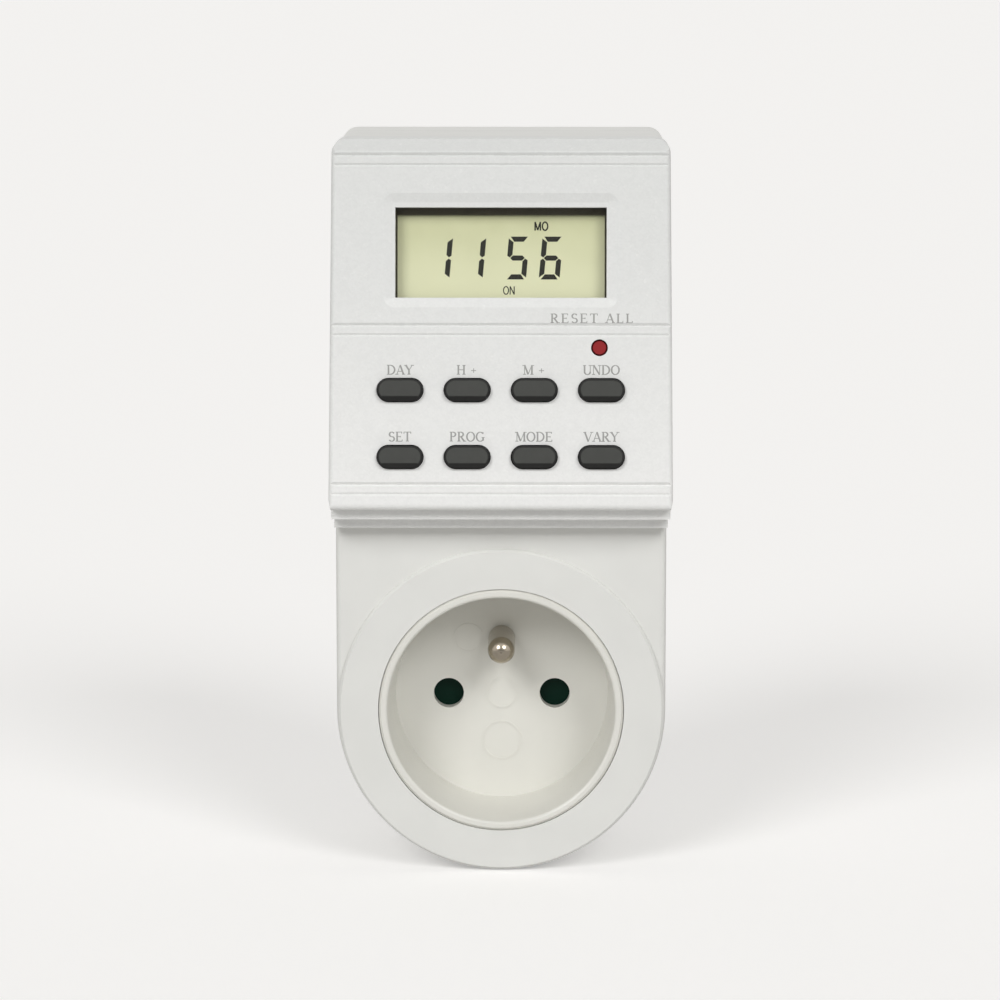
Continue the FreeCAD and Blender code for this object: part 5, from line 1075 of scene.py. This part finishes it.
@dataclass
class Outlet:
    """The outlet in the front: the cup, the shutter behind its holes and the earth pin."""

    coil: Metal = Metal("spring_wire", (178, 178, 180), rough=0.25)

    def wind_coil(self) -> None:
        """Puts a coil in the place of the shutter's spring and works out the share of its height that the
        shutter's travel leaves.
        """
        points, faces = merged("shutter_spring")
        piece = new_piece("shutter_coil", points, faces, self.coil, Body.HOUSING, smooth=True)
        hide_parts("shutter_spring")
        low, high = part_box("shutter_spring")
        joints = frame["record"]["behaviour"]["joints"]
        travel = next(joint["range_m"][1] for joint in joints if joint["name"] == "shutter_slide")
        keep = 1.0 - travel / (high.z - low.z)
        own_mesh(piece)

    def build(self) -> None:
        """Dresses the outlet's pieces."""
        looks = {
            "cream": Plastic("cream_insert", (225, 224, 217), rough=0.3, skin_depth_mm=0.003),
            "green": Plastic("green_shutter", (4, 40, 29), rough=0.35, specular=0.12),
            "carrier": Plastic("natural_carrier", (217, 215, 205), rough=0.5),
            "brass": Metal("stamped_brass", BRASS, rough=0.3),
            "nickel": Metal("nickel_pin", (178, 168, 152), rough=0.18),
            "steel": Metal("zinc_small_screw", ZINC, rough=0.28),
        }
        dress_all(looks, {
            "socket_insert": "cream", "socket_shutter": "green", "contact_carrier": "carrier",
            "live_contact": "brass", "neutral_contact": "brass", "ground_pin": "nickel",
            "socket_screws": "steel",
        })
        self.wind_coil()


@dataclass
class Plug:
    """The pins, the earth contact and the side clips at the back, with their leads."""

    def build(self) -> None:
        """Dresses the plug's pieces."""
        looks = {
            "nickel": Metal("nickel_plug", (206, 201, 193), rough=0.18),
            "clip": Metal("tinned_clip", (196, 196, 198), rough=0.3, drawn=Axis.Z),
            "brass": Metal("earth_brass", BRASS, rough=0.3),
            "earth": Banded("earth_insulation", (96, 150, 60), (216, 200, 60), Axis.X, 1.2, rough=0.4),
            "brown": Plastic("brown_insulation", (92, 56, 38), rough=0.4),
            "blue": Plastic("blue_insulation", (46, 92, 168), rough=0.4),
        }
        dress_all(looks, {
            "line_pin": "nickel", "neutral_pin": "nickel",
            "earth_socket": "brass", "side_earth_clips": "clip",
            "earth_lead": "earth", "live_lead": "brown", "switched_lead": "brown",
            "neutral_lead": "blue", "neutral_link": "blue",
        })


@dataclass
class Boards:
    """The two boards and the parts on them."""

    def build(self) -> None:
        """Dresses the boards and their parts."""
        looks = {
            "board": Laminate("green_board", (40, 96, 62), (70, 128, 84)),
            "black": Plastic("relay_plastic", (38, 38, 40), rough=0.4),
            "iron": Metal("plated_iron", (186, 187, 190), rough=0.35, drawn=Axis.Z),
            "winding": Banded("varnished_winding", (176, 104, 58), (120, 62, 30), Axis.Y, 0.25, rough=0.3),
            "copper": Metal("copper_post", (205, 140, 100), rough=0.3, drawn=Axis.Z),
            "film": Plastic("yellow_box", (216, 188, 72), rough=0.35),
            "can": Banded(
                "sleeved_can", (52, 66, 98), PRINT_GREY, Axis.X, 8.4, 0.14, rough=0.3, ridge_mm=0.01,
            ),
            "varistor": Plastic("blue_disc", (62, 108, 176), rough=0.3, coat=0.5),
            "fuse": Banded("ceramic_fuse", (178, 184, 170), (92, 84, 66), Axis.X, 2.0, 0.2, rough=0.4),
            "diode": Banded("moulded_diode", (42, 42, 43), PRINT_GREY, Axis.X, 6.0, 0.14, rough=0.4),
            "epoxy": Plastic("epoxy_drop", (30, 30, 31), rough=0.25, coat=0.6),
            "crystal": Metal("drawn_can", (196, 196, 196), rough=0.25, drawn=Axis.X),
            "cell": Metal("nickel_cell", (194, 194, 191), rough=0.3, drawn=Axis.Z),
            "tab": Metal("cell_tab", (198, 196, 190), rough=0.3, drawn=Axis.Z),
            "ribbon": Banded("grey_ribbon", (172, 174, 176), (132, 134, 138), Axis.X, 1.0, 0.3, rough=0.45),
            "steel": Metal("zinc_board_screw", ZINC, rough=0.28),
        }
        dress_all(looks, {
            "power_board": "board", "display_board": "board",
            "relay_base": "black", "relay_cover": "black", "relay_yoke": "iron",
            "relay_armature": "iron", "relay_coil": "winding", "relay_contacts": "copper",
            "film_capacitor": "film", "electrolytic_capacitor": "can", "varistor": "varistor",
            "fuse_resistor": "fuse", "rectifier_diodes": "diode", "controller_blob": "epoxy",
            "timing_crystal": "crystal", "backup_battery": "cell", "battery_tabs": "tab",
            "ribbon_cable": "ribbon", "power_board_screws": "steel", "display_board_screws": "steel",
        })


def facing(azimuth: float, elevation: float) -> Vector:
    """The direction before the object at a turn to the right and a height, both in degrees."""
    turn, tilt = math.radians(azimuth), math.radians(elevation)
    return Vector((math.sin(turn) * math.cos(tilt), -math.cos(turn) * math.cos(tilt), math.sin(tilt)))


@dataclass(frozen=True)
class Lamp:
    """A far round light of a given width, all in degrees but its strength."""

    name: str
    azimuth: float
    elevation: float
    width: float
    strength: float

    def hang(self) -> None:
        """Adds the light."""
        data = bpy.data.lights.new(self.name, "SUN")
        data.energy = self.strength
        data.angle = math.radians(self.width)
        lamp = bpy.data.objects.new(self.name, data)
        lamp.rotation_euler = facing(self.azimuth, self.elevation).to_track_quat("Z", "Y").to_euler()
        bpy.context.scene.collection.objects.link(lamp)


@dataclass
class Studio:
    """The camera, the lights and the pale surroundings."""

    target: tuple[float, float, float] = (-0.00018, -0.056, 0.03739)
    distance: float = 0.7
    azimuth: float = 0.5
    elevation: float = 8.5
    lens_mm: float = 144.6
    sensor_mm: float = 36.0
    clip_m: Range = (0.01, 100.0)
    floor_reach: float = 14.0
    floor_shade: Shade = (228, 227, 226)
    backdrop: Shade = (245, 244, 242)
    floor_glow: float = 0.38
    ambient: float = 0.26
    ambient_behind: float = 0.62
    behind_range: Range = (-0.1, 0.6)
    dark_reach: Range = (42.0, 22.0)
    dark_share: float = 0.85
    lamps: tuple[Lamp, ...] = (
        Lamp("left", -28.0, 32.0, 24.0, 1.13),
        Lamp("right", 28.0, 32.0, 24.0, 1.02),
        Lamp("front", 0.0, 5.0, 70.0, 0.24),
    )

    def place_camera(self) -> None:
        """Puts the camera where the photograph was taken from."""
        back = facing(self.azimuth, self.elevation)
        data = bpy.data.cameras.new("camera")
        data.lens = self.lens_mm
        data.sensor_width = self.sensor_mm
        data.clip_start, data.clip_end = self.clip_m
        camera = bpy.data.objects.new("camera", data)
        camera.location = Vector(self.target) + back * self.distance
        camera.rotation_euler = (-back).to_track_quat("-Z", "Y").to_euler()
        bpy.context.scene.collection.objects.link(camera)
        bpy.context.scene.camera = camera

    def lay_floor(self, level: float) -> None:
        """Lays a round floor: rings of points whose radii grow by the square of their number.

        Args:
            level: Its height, in metres.
        """
        rings, spokes = 12, 64
        radius = self.floor_reach * (np.arange(1, rings + 1) / rings) ** 2
        turn = np.arange(spokes) * 2 * math.pi / spokes
        x, y = np.outer(radius, np.cos(turn)).ravel(), np.outer(radius, np.sin(turn)).ravel()
        points = np.concatenate([np.stack([x, y, np.full(x.size, level)], axis=1), [[0.0, 0.0, level]]])
        here = np.arange(spokes)
        after = np.roll(here, -1)
        band = np.stack([here, here + spokes, after + spokes, after], axis=1)
        bands = (band[None] + (np.arange(rings - 1) * spokes)[:, None, None]).reshape(-1, 4)
        middle = np.stack([np.full(spokes, rings * spokes), here, after], axis=1)
        mesh = bpy.data.meshes.new("floor")
        mesh.from_pydata(points.tolist(), [], bands.tolist() + middle.tolist())
        mesh.materials.append(self.floor_material())
        floor = bpy.data.objects.new("floor", mesh)
        bpy.context.scene.collection.objects.link(floor)
        floor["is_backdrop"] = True

    def floor_material(self) -> bpy.types.Material:
        """A matt floor that glows for the camera alone, so that it looks pale and keeps the shadow."""
        material = bpy.data.materials.new("pale_floor")
        g = Graph(material)
        matt = g.add("ShaderNodeBsdfDiffuse", inputs={"Color": linear(self.floor_shade)})
        glow = self.floor_glow * g.maths("MAXIMUM", g.ray(Ray.CAMERA), g.ray(Ray.TRANSMISSION))
        light = g.add("ShaderNodeEmission", inputs={"Color": linear(self.backdrop), "Strength": glow})
        g.finish(g.add("ShaderNodeAddShader", inputs={0: matt, 1: light}))
        return material

    def fill_room(self) -> None:
        """Lights the room, more from behind. Mirrors see it pale, but dark around the camera's place."""
        world = bpy.data.worlds.new("room")
        g = Graph(world)
        glossy = g.ray(Ray.GLOSSY)
        toward = g.dot(facing(self.azimuth, self.elevation))
        wide, narrow = [math.cos(math.radians(angle)) for angle in self.dark_reach]
        dark = glossy * toward.step(wide, narrow) * self.dark_share
        behind = (-1.0 * toward).step(*self.behind_range)
        soft = self.ambient + (self.ambient_behind - self.ambient) * behind
        seen = g.maths("MAXIMUM", g.ray(Ray.CAMERA), glossy)
        level = g.maths("MAXIMUM", soft, seen) - dark
        back = g.add("ShaderNodeBackground", inputs={"Color": linear(self.backdrop), "Strength": level})
        g.finish(back)
        bpy.context.scene.world = world

    def build(self) -> None:
        """Sets up the whole studio."""
        self.place_camera()
        self.lay_floor(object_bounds()[0].z)
        self.fill_room()
        for lamp in self.lamps:
            lamp.hang()
        bpy.context.scene.view_settings.view_transform = "Standard"
        LOG.info("studio ready")


def main() -> None:
    """Dresses the timer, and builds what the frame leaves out."""
    logging.basicConfig(level=logging.INFO, format="%(name)s: %(message)s")
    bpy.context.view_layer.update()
    plane = FacePlane()
    Studio().build()
    for part in (Head(plane), Display(plane), Keypad(plane), Outlet(), Plug(), Boards()):
        part.build()


if __name__ == "__main__":
    main()
